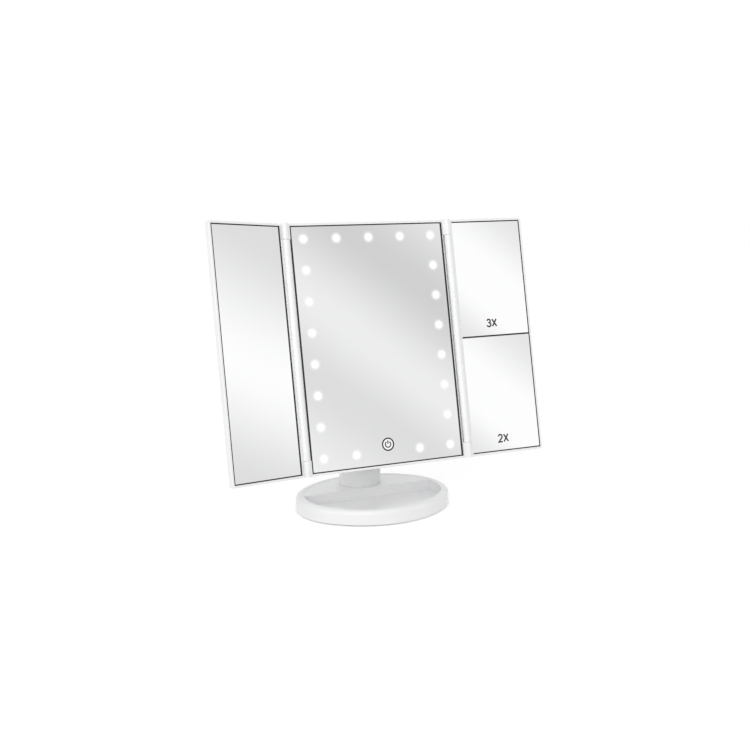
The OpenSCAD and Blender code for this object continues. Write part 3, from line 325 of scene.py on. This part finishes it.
def turned_metal():
    """Tone, gloss and fine drawn lines of plated metal."""
    def build(sheet, source):
        place = sheet.place()
        drawn = sheet.add("ShaderNodeMapping", {}, Vector=place, Scale=source["Line Stretch"]).outputs[0]
        lines = sheet.noise(drawn, 900.0, 3.0, 0.7)
        cloud = sheet.noise(place, 120.0, 2.0)
        tone = sheet.mix(sheet.remap(cloud, 0.3, 0.7), source["Light Colour"], source["Dark Colour"])
        gloss = sheet.math("ADD", source["Roughness"],
                           sheet.math("MULTIPLY", sheet.math("SUBTRACT", lines, 0.5), 0.25), clamp=True)
        return tone, gloss, lines
    return node_group("Turned Metal", [
        ("Light Colour", COLOUR, (0.6, 0.6, 0.62, 1)), ("Dark Colour", COLOUR, (0.45, 0.45, 0.47, 1)),
        ("Roughness", FLOAT, 0.3), ("Line Stretch", VECTOR, (0.06, 1.0, 1.0)),
    ], [("Colour", COLOUR), ("Roughness", FLOAT), ("Height", FLOAT)], build)


def pane_place():
    """Where a point lies on a pane, in millimetres across and up, and how far along its soft band of painted
    reflection.
    """
    def build(sheet, source):
        step = sheet.add("ShaderNodeVectorMath", {"operation": "SUBTRACT"}, i0=sheet.place(),
                         i1=source["Origin"]).outputs[0]
        across = sheet.math("MULTIPLY", sheet.dot(step, source["Across"]), 1 / MM)
        up = sheet.math("MULTIPLY", sheet.dot(step, source["Up"]), 1 / MM)
        # The band of painted reflection wavers a little with noise
        bend = sheet.math("MULTIPLY", sheet.math("SUBTRACT", sheet.noise(sheet.place(), 7.0, 1.0), 0.5), 14.0)
        band = sheet.math("ADD", sheet.math("ADD", up, sheet.math("MULTIPLY", across, source["Slope"])), bend)
        return across, up, band
    return node_group("Pane Place", [
        ("Origin", VECTOR, (0, 0, 0)), ("Across", VECTOR, (1, 0, 0)), ("Up", VECTOR, (0, 0, 1)),
        ("Slope", FLOAT, 0.5),
    ], [("Across", FLOAT), ("Up", FLOAT), ("Band", FLOAT)], build)


def light_halo():
    """Mask of the lit light spots, with their soft edges, and of the lit touch button, on the centre pane."""
    def build(sheet, source):
        across, up = source["Across"], source["Up"]
        aside = sheet.math("ABSOLUTE", across)
        rise = sheet.math("SUBTRACT", up, SPOT_LOW)
        near_x = sheet.math("PINGPONG", aside, SPOT_STEP_X / 2)
        near_z = sheet.math("PINGPONG", rise, SPOT_STEP_Z / 2)
        spot = sheet.length(near_x, near_z)
        outer = sheet.math("GREATER_THAN", aside, (SPOT_COLUMNS_HALF - 0.5) * SPOT_STEP_X)
        top = sheet.math("GREATER_THAN", rise, (SPOT_ROWS - 0.5) * SPOT_STEP_Z)
        # The bottom row has no spot in the middle, where the touch switch is
        low = sheet.math("MULTIPLY", sheet.math("LESS_THAN", rise, 0.5 * SPOT_STEP_Z),
                         sheet.math("GREATER_THAN", aside, 0.5 * SPOT_STEP_X))
        lit = sheet.math("MAXIMUM", sheet.math("MAXIMUM", outer, top), low)
        edge = sheet.math("ADD", source["Halo Width"], SPOT_R)
        ring = sheet.remap(spot, SPOT_CORE, edge, 1.0, 0.0, smooth=True)
        touch = sheet.length(across, sheet.math("SUBTRACT", up, TOUCH_Z))
        button = sheet.remap(touch, TOUCH_R - TOUCH_FADE_IN, TOUCH_R + TOUCH_FADE_OUT, 1.0, 0.0, smooth=True)
        return (sheet.math("MAXIMUM", sheet.math("MULTIPLY", ring, lit), button),)
    return node_group("Light Halo", [("Across", FLOAT, 0.0), ("Up", FLOAT, 0.0), ("Halo Width", FLOAT, 3.5)],
                      [("Mask", FLOAT)], build)


# ------------------------------------------------------------------ materials

def start_material(name):
    """A new material's sheet, shader and self. The first two are None where it is already made."""
    if name in bpy.data.materials:
        return None, None, bpy.data.materials[name]
    material = bpy.data.materials.new(name)
    material.use_nodes = True
    material.node_tree.nodes.clear()
    sheet = Sheet(material.node_tree)
    shader = sheet.add("ShaderNodeBsdfPrincipled")
    sheet.add("ShaderNodeOutputMaterial", {}, Surface=shader.outputs[0])
    return sheet, shader, material


def bump(sheet, shader, height, depth, strength=1.0):
    node = sheet.add("ShaderNodeBump", {}, Height=height, Distance=depth, Strength=strength)
    sheet.feed(shader, "Normal", node.outputs[0])


def plastic(name, colour, roughness, grain, depth, shade=(0.965, 0.965, 0.97, 1), gloss_change=0.12, coat=0.0,
            marks=0.0):
    """A moulded plastic."""
    sheet, shader, material = start_material(name)
    if sheet is None:
        return material
    skin = sheet.add("ShaderNodeGroup", {"node_tree": moulded_skin()}, Colour=(*colour, 1),
                     Shade_Colour=shade, Roughness=roughness, Gloss_Change=gloss_change, Grain_Scale=1 / grain)
    rough = skin.outputs["Roughness"]
    if marks:
        smear = sheet.add("ShaderNodeGroup", {"node_tree": handling_marks()}, Scale=38.0, Amount=marks)
        rough = sheet.math("ADD", rough, smear.outputs["Mask"], clamp=True)
    sheet.feed(shader, "Base Color", skin.outputs["Colour"])
    sheet.feed(shader, "Roughness", rough)
    shader.inputs["Coat Weight"].default_value = coat
    shader.inputs["Coat Roughness"].default_value = 0.08
    bump(sheet, shader, skin.outputs["Height"], depth)
    return material


def metal(name, light, dark, roughness, stretch=(0.06, 1.0, 1.0), depth=4e-6):
    """A plated metal."""
    sheet, shader, material = start_material(name)
    if sheet is None:
        return material
    surface = sheet.add("ShaderNodeGroup", {"node_tree": turned_metal()}, Light_Colour=(*light, 1),
                        Dark_Colour=(*dark, 1), Roughness=roughness, Line_Stretch=stretch)
    sheet.feed(shader, "Base Color", surface.outputs["Colour"])
    sheet.feed(shader, "Roughness", surface.outputs["Roughness"])
    shader.inputs["Metallic"].default_value = 1.0
    bump(sheet, shader, surface.outputs["Height"], depth)
    return material


def white_gloss(settings):
    return plastic("white gloss plastic", settings.body_colour, settings.gloss, settings.grain, 3.0e-6,
                   coat=0.25, marks=0.03)


def grey_moulding(settings):
    return plastic("light grey plastic", settings.underside_colour, 0.46, 0.0009, 1.2e-5)


def black_moulding():
    return plastic("black plastic", (0.022, 0.022, 0.025), 0.42, 0.0007, 1.2e-5, shade=(0.8, 0.8, 0.8, 1))


def friction_plastic():
    return plastic("friction plastic", (0.05, 0.05, 0.055), 0.5, 0.0004, 1.5e-5, shade=(0.7, 0.7, 0.7, 1))


def gasket():
    return plastic("gasket rubber", (0.01, 0.01, 0.012), 0.6, 0.0004, 8e-6, shade=(0.75, 0.75, 0.76, 1))


def foot_rubber():
    return plastic("foot rubber", (0.03, 0.03, 0.032), 0.75, 0.0006, 6e-5, shade=(0.7, 0.7, 0.72, 1))


def plated_steel():
    return metal("plated steel", (0.6, 0.61, 0.63), (0.46, 0.47, 0.49), 0.3)


def spring_metal():
    return metal("spring metal", (0.78, 0.7, 0.5), (0.62, 0.53, 0.34), 0.28, (1.0, 1.0, 0.08))


def cell_wrapper():
    return metal("cell wrapper", (0.5, 0.51, 0.53), (0.38, 0.39, 0.42), 0.34, (1.0, 1.0, 0.05))


def foam():
    """Open-cell foam of the mounting tape and pads."""
    sheet, shader, material = start_material("mounting foam")
    if sheet is None:
        return material
    place = sheet.place()
    cell = sheet.add("ShaderNodeTexVoronoi", {}, Vector=place, Scale=1900.0).outputs["Distance"]
    tone = sheet.ramp(cell, [(0.0, (0.018, 0.018, 0.02)), (1.0, (0.075, 0.075, 0.08))])
    sheet.feed(shader, "Base Color", tone)
    sheet.feed(shader, "Roughness", sheet.remap(cell, 0.0, 1.0, 0.85, 0.98))
    bump(sheet, shader, cell, 1.2e-4)
    return material


def board(name, mask_colour, track_colour):
    """A circuit board: solder mask over faint tracks."""
    sheet, shader, material = start_material(name)
    if sheet is None:
        return material
    place = sheet.place()
    bricks = sheet.add("ShaderNodeTexBrick", {"offset": 0.5, "squash": 1.0}, Vector=place, Scale=210.0,
                       Mortar_Size=0.05, Mortar_Smooth=0.2, Bias=0.0, Brick_Width=0.9, Row_Height=0.22)
    tracks = bricks.outputs["Fac"]
    clouds = sheet.noise(place, 90.0, 3.0)
    shade = [0.86 * c for c in mask_colour]
    base = sheet.mix(sheet.remap(clouds, 0.3, 0.7), (*mask_colour, 1), (*shade, 1))
    share = sheet.math("MULTIPLY", tracks, 0.65)
    sheet.feed(shader, "Base Color", sheet.mix(share, base, (*track_colour, 1)))
    sheet.feed(shader, "Roughness", sheet.remap(clouds, 0.0, 1.0, 0.3, 0.45))
    bump(sheet, shader, tracks, 2e-5)
    return material


def green_board():
    return board("green board", (0.02, 0.13, 0.055), (0.05, 0.22, 0.1))


def white_board():
    return board("white board", (0.82, 0.82, 0.78), (0.66, 0.64, 0.55))


def ink(settings):
    """Printed ink, a little uneven like a screen print."""
    sheet, shader, material = start_material("printed ink")
    if sheet is None:
        return material
    place = sheet.place()
    speck = sheet.noise(place, 2600.0, 2.0)
    dark = settings.ink_colour
    pale = [c * 1.9 + 0.004 for c in dark]
    sheet.feed(shader, "Base Color", sheet.mix(sheet.remap(speck, 0.35, 0.75), (*dark, 1), (*pale, 1)))
    sheet.feed(shader, "Roughness", sheet.remap(speck, 0.0, 1.0, 0.3, 0.5))
    bump(sheet, shader, speck, 6e-6)
    return material


def grey(level):
    """A neutral colour from a display level of 0 to 255."""
    share = level / 255
    value = share / 12.92 if share <= 0.04045 else ((share + 0.055) / 1.055) ** 2.4
    return value, value * 1.002, value * 1.006


def silver(name, settings, origin, across, slope, low, reflection_tones, halo=False):
    """Silvered glass: a soft slanted band of painted reflection runs across its colour, and with halo a
    painted glow lightens it round the light spots and the touch button; its tones count from the height low.
    """
    sheet, shader, material = start_material(name)
    if sheet is None:
        return material
    pane = sheet.add("ShaderNodeGroup", {"node_tree": pane_place()}, Origin=origin, Across=across, Up=UP,
                     Slope=slope)
    first, last = reflection_tones[0][0], reflection_tones[-1][0]
    along = sheet.remap(pane.outputs["Band"], low + first, low + last)
    stops = [((height - first) / (last - first), grey(level)) for height, level in reflection_tones]
    # Painted reflection: the tones of a plain studio, painted into the base colour along the slanted band
    tone = sheet.ramp(along, stops, "EASE")
    marks = sheet.add("ShaderNodeGroup", {"node_tree": handling_marks()}, Scale=22.0, Amount=1.0)
    smear = marks.outputs["Mask"]
    tone = sheet.mix(sheet.math("MULTIPLY", smear, 0.05), tone, (0.82, 0.82, 0.825, 1))
    # Painted glow: round each lit light spot and over the lit touch button the silver's base colour is
    # lightened towards white
    if halo:
        ring = sheet.add("ShaderNodeGroup", {"node_tree": light_halo()}, Across=pane.outputs["Across"],
                         Up=pane.outputs["Up"], Halo_Width=settings.halo / MM)
        tone = sheet.mix(sheet.math("MULTIPLY", ring.outputs["Mask"], 0.96), tone, (0.965, 0.965, 0.965, 1))
    sheet.feed(shader, "Base Color", tone)
    sheet.feed(shader, "Roughness", sheet.math("MULTIPLY_ADD", smear, 0.05, settings.polish))
    shader.inputs["Metallic"].default_value = 1.0
    return material


def lit_lens(settings):
    """Milky lens of a light spot: it glows most in its middle, and it has fine diffuser grain."""
    sheet, shader, material = start_material("lit lens")
    if sheet is None:
        return material
    frost = sheet.noise(sheet.place(), 1500.0, 2.0)
    pane = sheet.add("ShaderNodeGroup", {"node_tree": pane_place()}, Origin=HEAD_ORIGIN, Across=WORLD_X,
                     Up=UP)
    ring = sheet.add("ShaderNodeGroup", {"node_tree": light_halo()}, Across=pane.outputs["Across"],
                     Up=pane.outputs["Up"], Halo_Width=settings.halo / MM)
    bright, rim = settings.lamp_colour, [LENS_RIM * c for c in settings.lamp_colour]
    shine = sheet.mix(ring.outputs["Mask"], (*rim, 1), (*bright, 1))
    sheet.feed(shader, "Base Color", sheet.mix(sheet.remap(frost, 0.3, 0.7), (0.2, 0.2, 0.2, 1),
                                               (0.17, 0.17, 0.17, 1)))
    sheet.feed(shader, "Emission Color", shine)
    shader.inputs["Emission Strength"].default_value = settings.lamp_level
    sheet.feed(shader, "Roughness", sheet.remap(frost, 0.0, 1.0, 0.35, 0.55))
    bump(sheet, shader, frost, 1e-5)
    return material


# ------------------------------------------------------------------ pieces

def dress(node, material):
    """Gives a piece of the frame its finish."""
    mesh = frame["nodes"][node].data
    mesh.materials.clear()
    mesh.materials.append(material)


def dress_all(nodes, material):
    for node in nodes:
        dress(node, material)


def new_piece(name, mesh, body, material):
    """Places a new piece on a body."""
    piece = bpy.data.objects.new(name, mesh)
    bpy.context.scene.collection.objects.link(piece)
    mesh.materials.append(material)
    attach(piece, body)
    return piece


def wing_place(side):
    """Origin and outward direction of a wing: side is -1 on the left and 1 on the right."""
    name, fold = ("left_wing_fold", LEFT_FOLD) if side < 0 else ("right_wing_fold", RIGHT_FOLD)
    hinge = Vector(JOINTS[name]["pos_m"]) - UP * JOINT_UP
    outward = WORLD_X * side * math.cos(fold) + FORWARD * math.sin(fold)
    facing = FORWARD * math.cos(fold) - WORLD_X * side * math.sin(fold)
    return hinge - facing * HINGE_PROUD, outward, facing


def arc(centre_x, centre_y, reach_x, reach_y, start, stop, count=18):
    """Points on an oval arc, in degrees."""
    turns = [math.radians(start + (stop - start) * k / count) for k in range(count + 1)]
    return [(centre_x + reach_x * math.cos(t), centre_y + reach_y * math.sin(t)) for t in turns]


def sign_lines(sign):
    """Centre lines of a sign, one unit high, and its width."""
    if sign == "3":
        return [arc(0.32, 0.755, 0.24, 0.245, 168, -78) + arc(0.32, 0.265, 0.29, 0.265, 82, -168)], 0.64
    if sign == "2":
        return [arc(0.32, 0.72, 0.28, 0.28, 172, -38) + [(0.05, 0.0), (0.63, 0.0)]], 0.66
    return [[(0.03, 0.0), (0.68, 1.0)], [(0.68, 0.0), (0.03, 1.0)]], 0.72


def ribbon(shape, points, width, depth):
    """A flat line of even width through points, as a closed strip of faces."""
    left, right = [], []
    for k, point in enumerate(points):
        before = points[max(k - 1, 0)]
        after = points[min(k + 1, len(points) - 1)]
        first = Vector((point[0] - before[0], point[1] - before[1]))
        second = Vector((after[0] - point[0], after[1] - point[1]))
        first = first.normalized() if first.length > 1e-9 else second.normalized()
        second = second.normalized() if second.length > 1e-9 else first
        middle = (first + second).normalized()
        normal = Vector((-middle.y, middle.x))
        reach = width / 2 / max(0.45, middle.dot(first))
        left.append(shape.verts.new((point[0] + normal.x * reach, point[1] + normal.y * reach, depth)))
        right.append(shape.verts.new((point[0] - normal.x * reach, point[1] - normal.y * reach, depth)))
    for k in range(len(points) - 1):
        shape.faces.new((left[k], right[k], right[k + 1], left[k + 1]))


def magnification_mark(name, signs, pane_node, place, settings):
    """A printed mark on a magnifying pane: place is its left and its base on the wing."""
    origin, outward, facing = wing_place(1)
    left, base = place
    shape = bmesh.new()
    cursor = 0.0
    stroke = settings.stroke
    for k, sign in enumerate(signs):
        lines, width = sign_lines(sign)
        scale = settings.height - stroke
        for j, line in enumerate(lines):
            points = [(cursor + stroke / 2 + x * scale, stroke / 2 + y * scale) for x, y in line]
            ribbon(shape, points, stroke, (2 * j + k) * INK_STEP)
        cursor += width * scale + stroke * 0.85
    bmesh.ops.subdivide_edges(shape, edges=[e for e in shape.edges if e.calc_length() > 2 * MM], cuts=6,
                              use_grid_fill=True)
    glass = frame["nodes"][pane_node]
    tree = BVHTree.FromPolygons([v.co for v in glass.data.vertices],
                                [p.vertices for p in glass.data.polygons])
    for vertex in shape.verts:
        start = origin + outward * (left + vertex.co.x) + UP * (base + vertex.co.y) + facing * 5 * MM
        hit = tree.ray_cast(start, -facing)[0]
        if hit is None:
            raise RuntimeError(f"{name} does not lie on {pane_node}")
        vertex.co = hit + facing * (INK_LIFT + vertex.co.z)
    mesh = bpy.data.meshes.new(name)
    shape.to_mesh(mesh)
    shape.free()
    piece = new_piece(name, mesh, "right_wing", ink(settings))
    thick = piece.modifiers.new("ink layer", "SOLIDIFY")
    thick.thickness = INK_THICKNESS
    thick.offset = -1 if mesh.polygons[0].normal.dot(facing) > 0 else 1


# ------------------------------------------------------------------ operators

class VANITY_OT_base(Operator):
    """Finish the tray base with its plate, pad, ballast and screws"""
    bl_idname = "vanity.finish_base"
    bl_label = "Base"

    def execute(self, context):
        settings = context.scene.vanity_moulding
        dress("base_shell", white_gloss(settings))
        dress("base_bottom_plate", grey_moulding(settings))
        dress("base_pad", foot_rubber())
        dress_all(["base_screws", "ballast_plate"], plated_steel())
        return {"FINISHED"}


class VANITY_OT_neck(Operator):
    """Finish the neck, its screws and the tilt joint"""
    bl_idname = "vanity.finish_neck"
    bl_label = "Neck and tilt joint"

    def execute(self, context):
        dress_all(["neck", "tilt_caps", "tilt_bracket"], white_gloss(context.scene.vanity_moulding))
        dress_all(["neck_screws", "tilt_shaft", "tilt_spring_washers", "tilt_nut", "bracket_screws"],
                  plated_steel())
        dress("tilt_washers", friction_plastic())
        return {"FINISHED"}


class VANITY_OT_panel(Operator):
    """Finish the centre panel's frame, rear cover, seal and tape"""
    bl_idname = "vanity.finish_panel"
    bl_label = "Centre panel"

    def execute(self, context):
        dress_all(["center_frame", "rear_cover"], white_gloss(context.scene.vanity_moulding))
        dress("rear_cover_screws", plated_steel())
        dress("center_seal", gasket())
        dress("center_tape", foam())
        return {"FINISHED"}


class VANITY_OT_panes(Operator):
    """Finish the four mirror panes"""
    bl_idname = "vanity.finish_panes"
    bl_label = "Mirror panes"

    def execute(self, context):
        settings = context.scene.vanity_glass
        dress("center_mirror", silver(
            "centre silver", settings, HEAD_ORIGIN, WORLD_X, CENTRE_REFLECTION_SLOPE, 0.0, CENTRE_REFLECTION_TONES, halo=True))
        origin, outward, _ = wing_place(-1)
        dress("left_mirror", silver(
            "left silver", settings, origin, outward, LEFT_REFLECTION_SLOPE, 0.0, LEFT_REFLECTION_TONES))
        origin, outward, _ = wing_place(1)
        dress("upper_magnifier", silver(
            "upper magnifying silver", settings, origin, outward, MAGNIFIER_REFLECTION_SLOPE, UPPER_PANE_LOW,
            MAGNIFIER_REFLECTION_TONES))
        dress("lower_magnifier", silver(
            "lower magnifying silver", settings, origin, outward, MAGNIFIER_REFLECTION_SLOPE, LOWER_PANE_LOW,
            MAGNIFIER_REFLECTION_TONES))
        return {"FINISHED"}


class VANITY_OT_lights(Operator):
    """Finish the light spots and the board behind them"""
    bl_idname = "vanity.finish_lights"
    bl_label = "Light spots"

    def execute(self, context):
        settings = context.scene.vanity_glass
        dress_all(["light_lenses", "led_chips"], lit_lens(settings))
        dress("led_board", white_board())
        return {"FINISHED"}


class VANITY_OT_touch(Operator):
    """Finish the touch switch behind and on the centre mirror"""
    bl_idname = "vanity.finish_touch"
    bl_label = "Touch switch"

    def execute(self, context):
        dress("touch_mark", ink(context.scene.vanity_mark))
        dress("touch_spring", spring_metal())
        dress("touch_board", green_board())
        return {"FINISHED"}


class VANITY_OT_power(Operator):
    """Finish the battery compartment, control board, socket, slide switch and wires"""
    bl_idname = "vanity.finish_power"
    bl_label = "Battery and control parts"

    def execute(self, context):
        dress("battery_door", white_gloss(context.scene.vanity_moulding))
        dress("battery_cells", cell_wrapper())
        dress("battery_contacts", spring_metal())
        dress("control_board", green_board())
        dress("usb_socket", plated_steel())
        dress_all(["power_switch_body", "power_switch_knob", "wiring"], black_moulding())
        return {"FINISHED"}


class VANITY_OT_hinges(Operator):
    """Finish the wings' hinge pins and friction bushes"""
    bl_idname = "vanity.finish_hinges"
    bl_label = "Wing hinges"

    def execute(self, context):
        dress_all(["left_hinge_pins", "right_hinge_pins"], plated_steel())
        dress_all(["left_bushes", "right_bushes"], friction_plastic())
        return {"FINISHED"}


class VANITY_OT_wings(Operator):
    """Finish the wings' frames, back covers, seals, tape and pads"""
    bl_idname = "vanity.finish_wings"
    bl_label = "Wings"

    def execute(self, context):
        dress_all(["left_frame", "right_frame", "left_back_cover", "right_back_cover"],
                  white_gloss(context.scene.vanity_moulding))
        dress_all(["left_seal", "right_seal"], gasket())
        dress_all(["left_tape", "right_pads"], foam())
        return {"FINISHED"}


class VANITY_OT_marks(Operator):
    """Print the magnification marks on the two magnifying panes"""
    bl_idname = "vanity.add_marks"
    bl_label = "Magnification marks"

    def execute(self, context):
        settings = context.scene.vanity_mark
        magnification_mark("mark_upper", "3X", "upper_magnifier", UPPER_MARK_PLACE, settings)
        magnification_mark("mark_lower", "2X", "lower_magnifier", LOWER_MARK_PLACE, settings)
        return {"FINISHED"}


class VANITY_OT_stage(Operator):
    """Set up the plain floor, the soft studio light and the camera"""
    bl_idname = "vanity.add_stage"
    bl_label = "Stage"

    def execute(self, context):
        settings = context.scene.vanity_stage
        self.add_floor(settings)
        self.add_sky(context.scene, settings)
        for name, setting, size, where in LAMPS:
            self.add_lamp(name, getattr(settings, setting), size, where)
        self.add_camera(context.scene, settings)
        context.scene.view_settings.view_transform = "Standard"
        return {"FINISHED"}

    def seen(self, sheet):
        """One for what the camera sees, straight on, in a gloss or through glass."""
        path = sheet.add("ShaderNodeLightPath").outputs
        gloss = sheet.math("MAXIMUM", path["Is Camera Ray"], path["Is Glossy Ray"])
        return sheet.math("MAXIMUM", gloss, path["Is Transmission Ray"])

    def add_floor(self, settings):
        half = settings.floor_size / 2
        shape = bmesh.new()
        bmesh.ops.create_grid(shape, x_segments=4, y_segments=4, size=half)
        mesh = bpy.data.meshes.new("floor")
        shape.to_mesh(mesh)
        shape.free()
        floor = bpy.data.objects.new("floor", mesh)
        floor.location.z = -FLOOR_DROP
        bpy.context.scene.collection.objects.link(floor)
        material = bpy.data.materials.new("pale floor")
        material.use_nodes = True
        material.node_tree.nodes.clear()
        sheet = Sheet(material.node_tree)
        matt = sheet.add("ShaderNodeBsdfDiffuse", {}, Color=(0.9, 0.9, 0.9, 1))
        lift = sheet.add("ShaderNodeEmission", {}, Color=(1, 1, 1, 1),
                         Strength=sheet.math("MULTIPLY", self.seen(sheet), settings.floor_lift))
        both = sheet.add("ShaderNodeAddShader", {}, i0=matt.outputs[0], i1=lift.outputs[0])
        sheet.add("ShaderNodeOutputMaterial", {}, Surface=both.outputs[0])
        mesh.materials.append(material)

    def add_sky(self, scene, settings):
        world = bpy.data.worlds.new("studio")
        scene.world = world
        world.use_nodes = True
        world.node_tree.nodes.clear()
        sheet = Sheet(world.node_tree)
        level = sheet.remap(self.seen(sheet), 0.0, 1.0, settings.sky_level, 1.0)
        sky = sheet.add("ShaderNodeBackground", {}, Color=(1, 1, 1, 1), Strength=level)
        sheet.add("ShaderNodeOutputWorld", {}, Surface=sky.outputs[0])

    def add_lamp(self, name, power, size, where):
        light = bpy.data.lights.new(name, "AREA")
        light.shape = "SQUARE"
        light.size = size
        light.energy = power
        lamp = bpy.data.objects.new(name, light)
        lamp.location = where
        aim = LAMP_AIM - lamp.location
        lamp.rotation_euler = aim.to_track_quat("-Z", "Y").to_euler()
        bpy.context.scene.collection.objects.link(lamp)

    def add_camera(self, scene, settings):
        data = bpy.data.cameras.new("camera")
        data.sensor_width = 36
        data.lens = settings.camera_lens
        data.clip_start = 0.05
        data.clip_end = 60
        camera = bpy.data.objects.new("camera", data)
        turn, rise = settings.camera_turn, settings.camera_rise
        back = Vector((math.sin(turn) * math.cos(rise), -math.cos(turn) * math.cos(rise), math.sin(rise)))
        right = Vector((math.cos(turn), math.sin(turn), 0))
        top = back.cross(right)
        roll = settings.camera_roll
        across = right * math.cos(roll) + top * math.sin(roll)
        up = top * math.cos(roll) - right * math.sin(roll)
        turned = Matrix((across, up, back)).transposed().to_4x4()
        where = Vector(settings.camera_aim) + back * settings.camera_distance
        camera.matrix_world = Matrix.Translation(where) @ turned
        scene.collection.objects.link(camera)
        scene.camera = camera


STEPS = (VANITY_OT_base, VANITY_OT_neck, VANITY_OT_panel, VANITY_OT_panes, VANITY_OT_lights, VANITY_OT_touch,
         VANITY_OT_power, VANITY_OT_hinges, VANITY_OT_wings, VANITY_OT_marks, VANITY_OT_stage)


class VANITY_PT_sidebar(Panel):
    """Settings and steps of the vanity mirror"""
    bl_label = "Trifold Vanity Mirror"
    bl_idname = "VANITY_PT_sidebar"
    bl_space_type = "VIEW_3D"
    bl_region_type = "UI"
    bl_category = "Mirror"

    def draw(self, context):
        for label, group in (("Mouldings", "vanity_moulding"), ("Glass and lights", "vanity_glass"),
                             ("Printed marks", "vanity_mark"), ("Stage", "vanity_stage")):
            box = self.layout.box()
            box.label(text=label)
            settings = getattr(context.scene, group)
            for name in settings.__annotations__:
                box.prop(settings, name)
        column = self.layout.column(align=True)
        for step in STEPS:
            column.operator(step.bl_idname)


SETTINGS = {"vanity_moulding": MouldingSettings, "vanity_glass": GlassSettings, "vanity_mark": MarkSettings,
            "vanity_stage": StageSettings}
CLASSES = (*SETTINGS.values(), *STEPS, VANITY_PT_sidebar)


def register():
    for each in CLASSES:
        bpy.utils.register_class(each)
    for name, group in SETTINGS.items():
        setattr(bpy.types.Scene, name, PointerProperty(type=group))


def unregister():
    for name in SETTINGS:
        delattr(bpy.types.Scene, name)
    for each in reversed(CLASSES):
        bpy.utils.unregister_class(each)


def main():
    register()
    bpy.ops.vanity.finish_base()
    bpy.ops.vanity.finish_neck()
    bpy.ops.vanity.finish_panel()
    bpy.ops.vanity.finish_panes()
    bpy.ops.vanity.finish_lights()
    bpy.ops.vanity.finish_touch()
    bpy.ops.vanity.finish_power()
    bpy.ops.vanity.finish_hinges()
    bpy.ops.vanity.finish_wings()
    bpy.ops.vanity.add_marks()
    bpy.ops.vanity.add_stage()


if __name__ == "__main__":
    main()
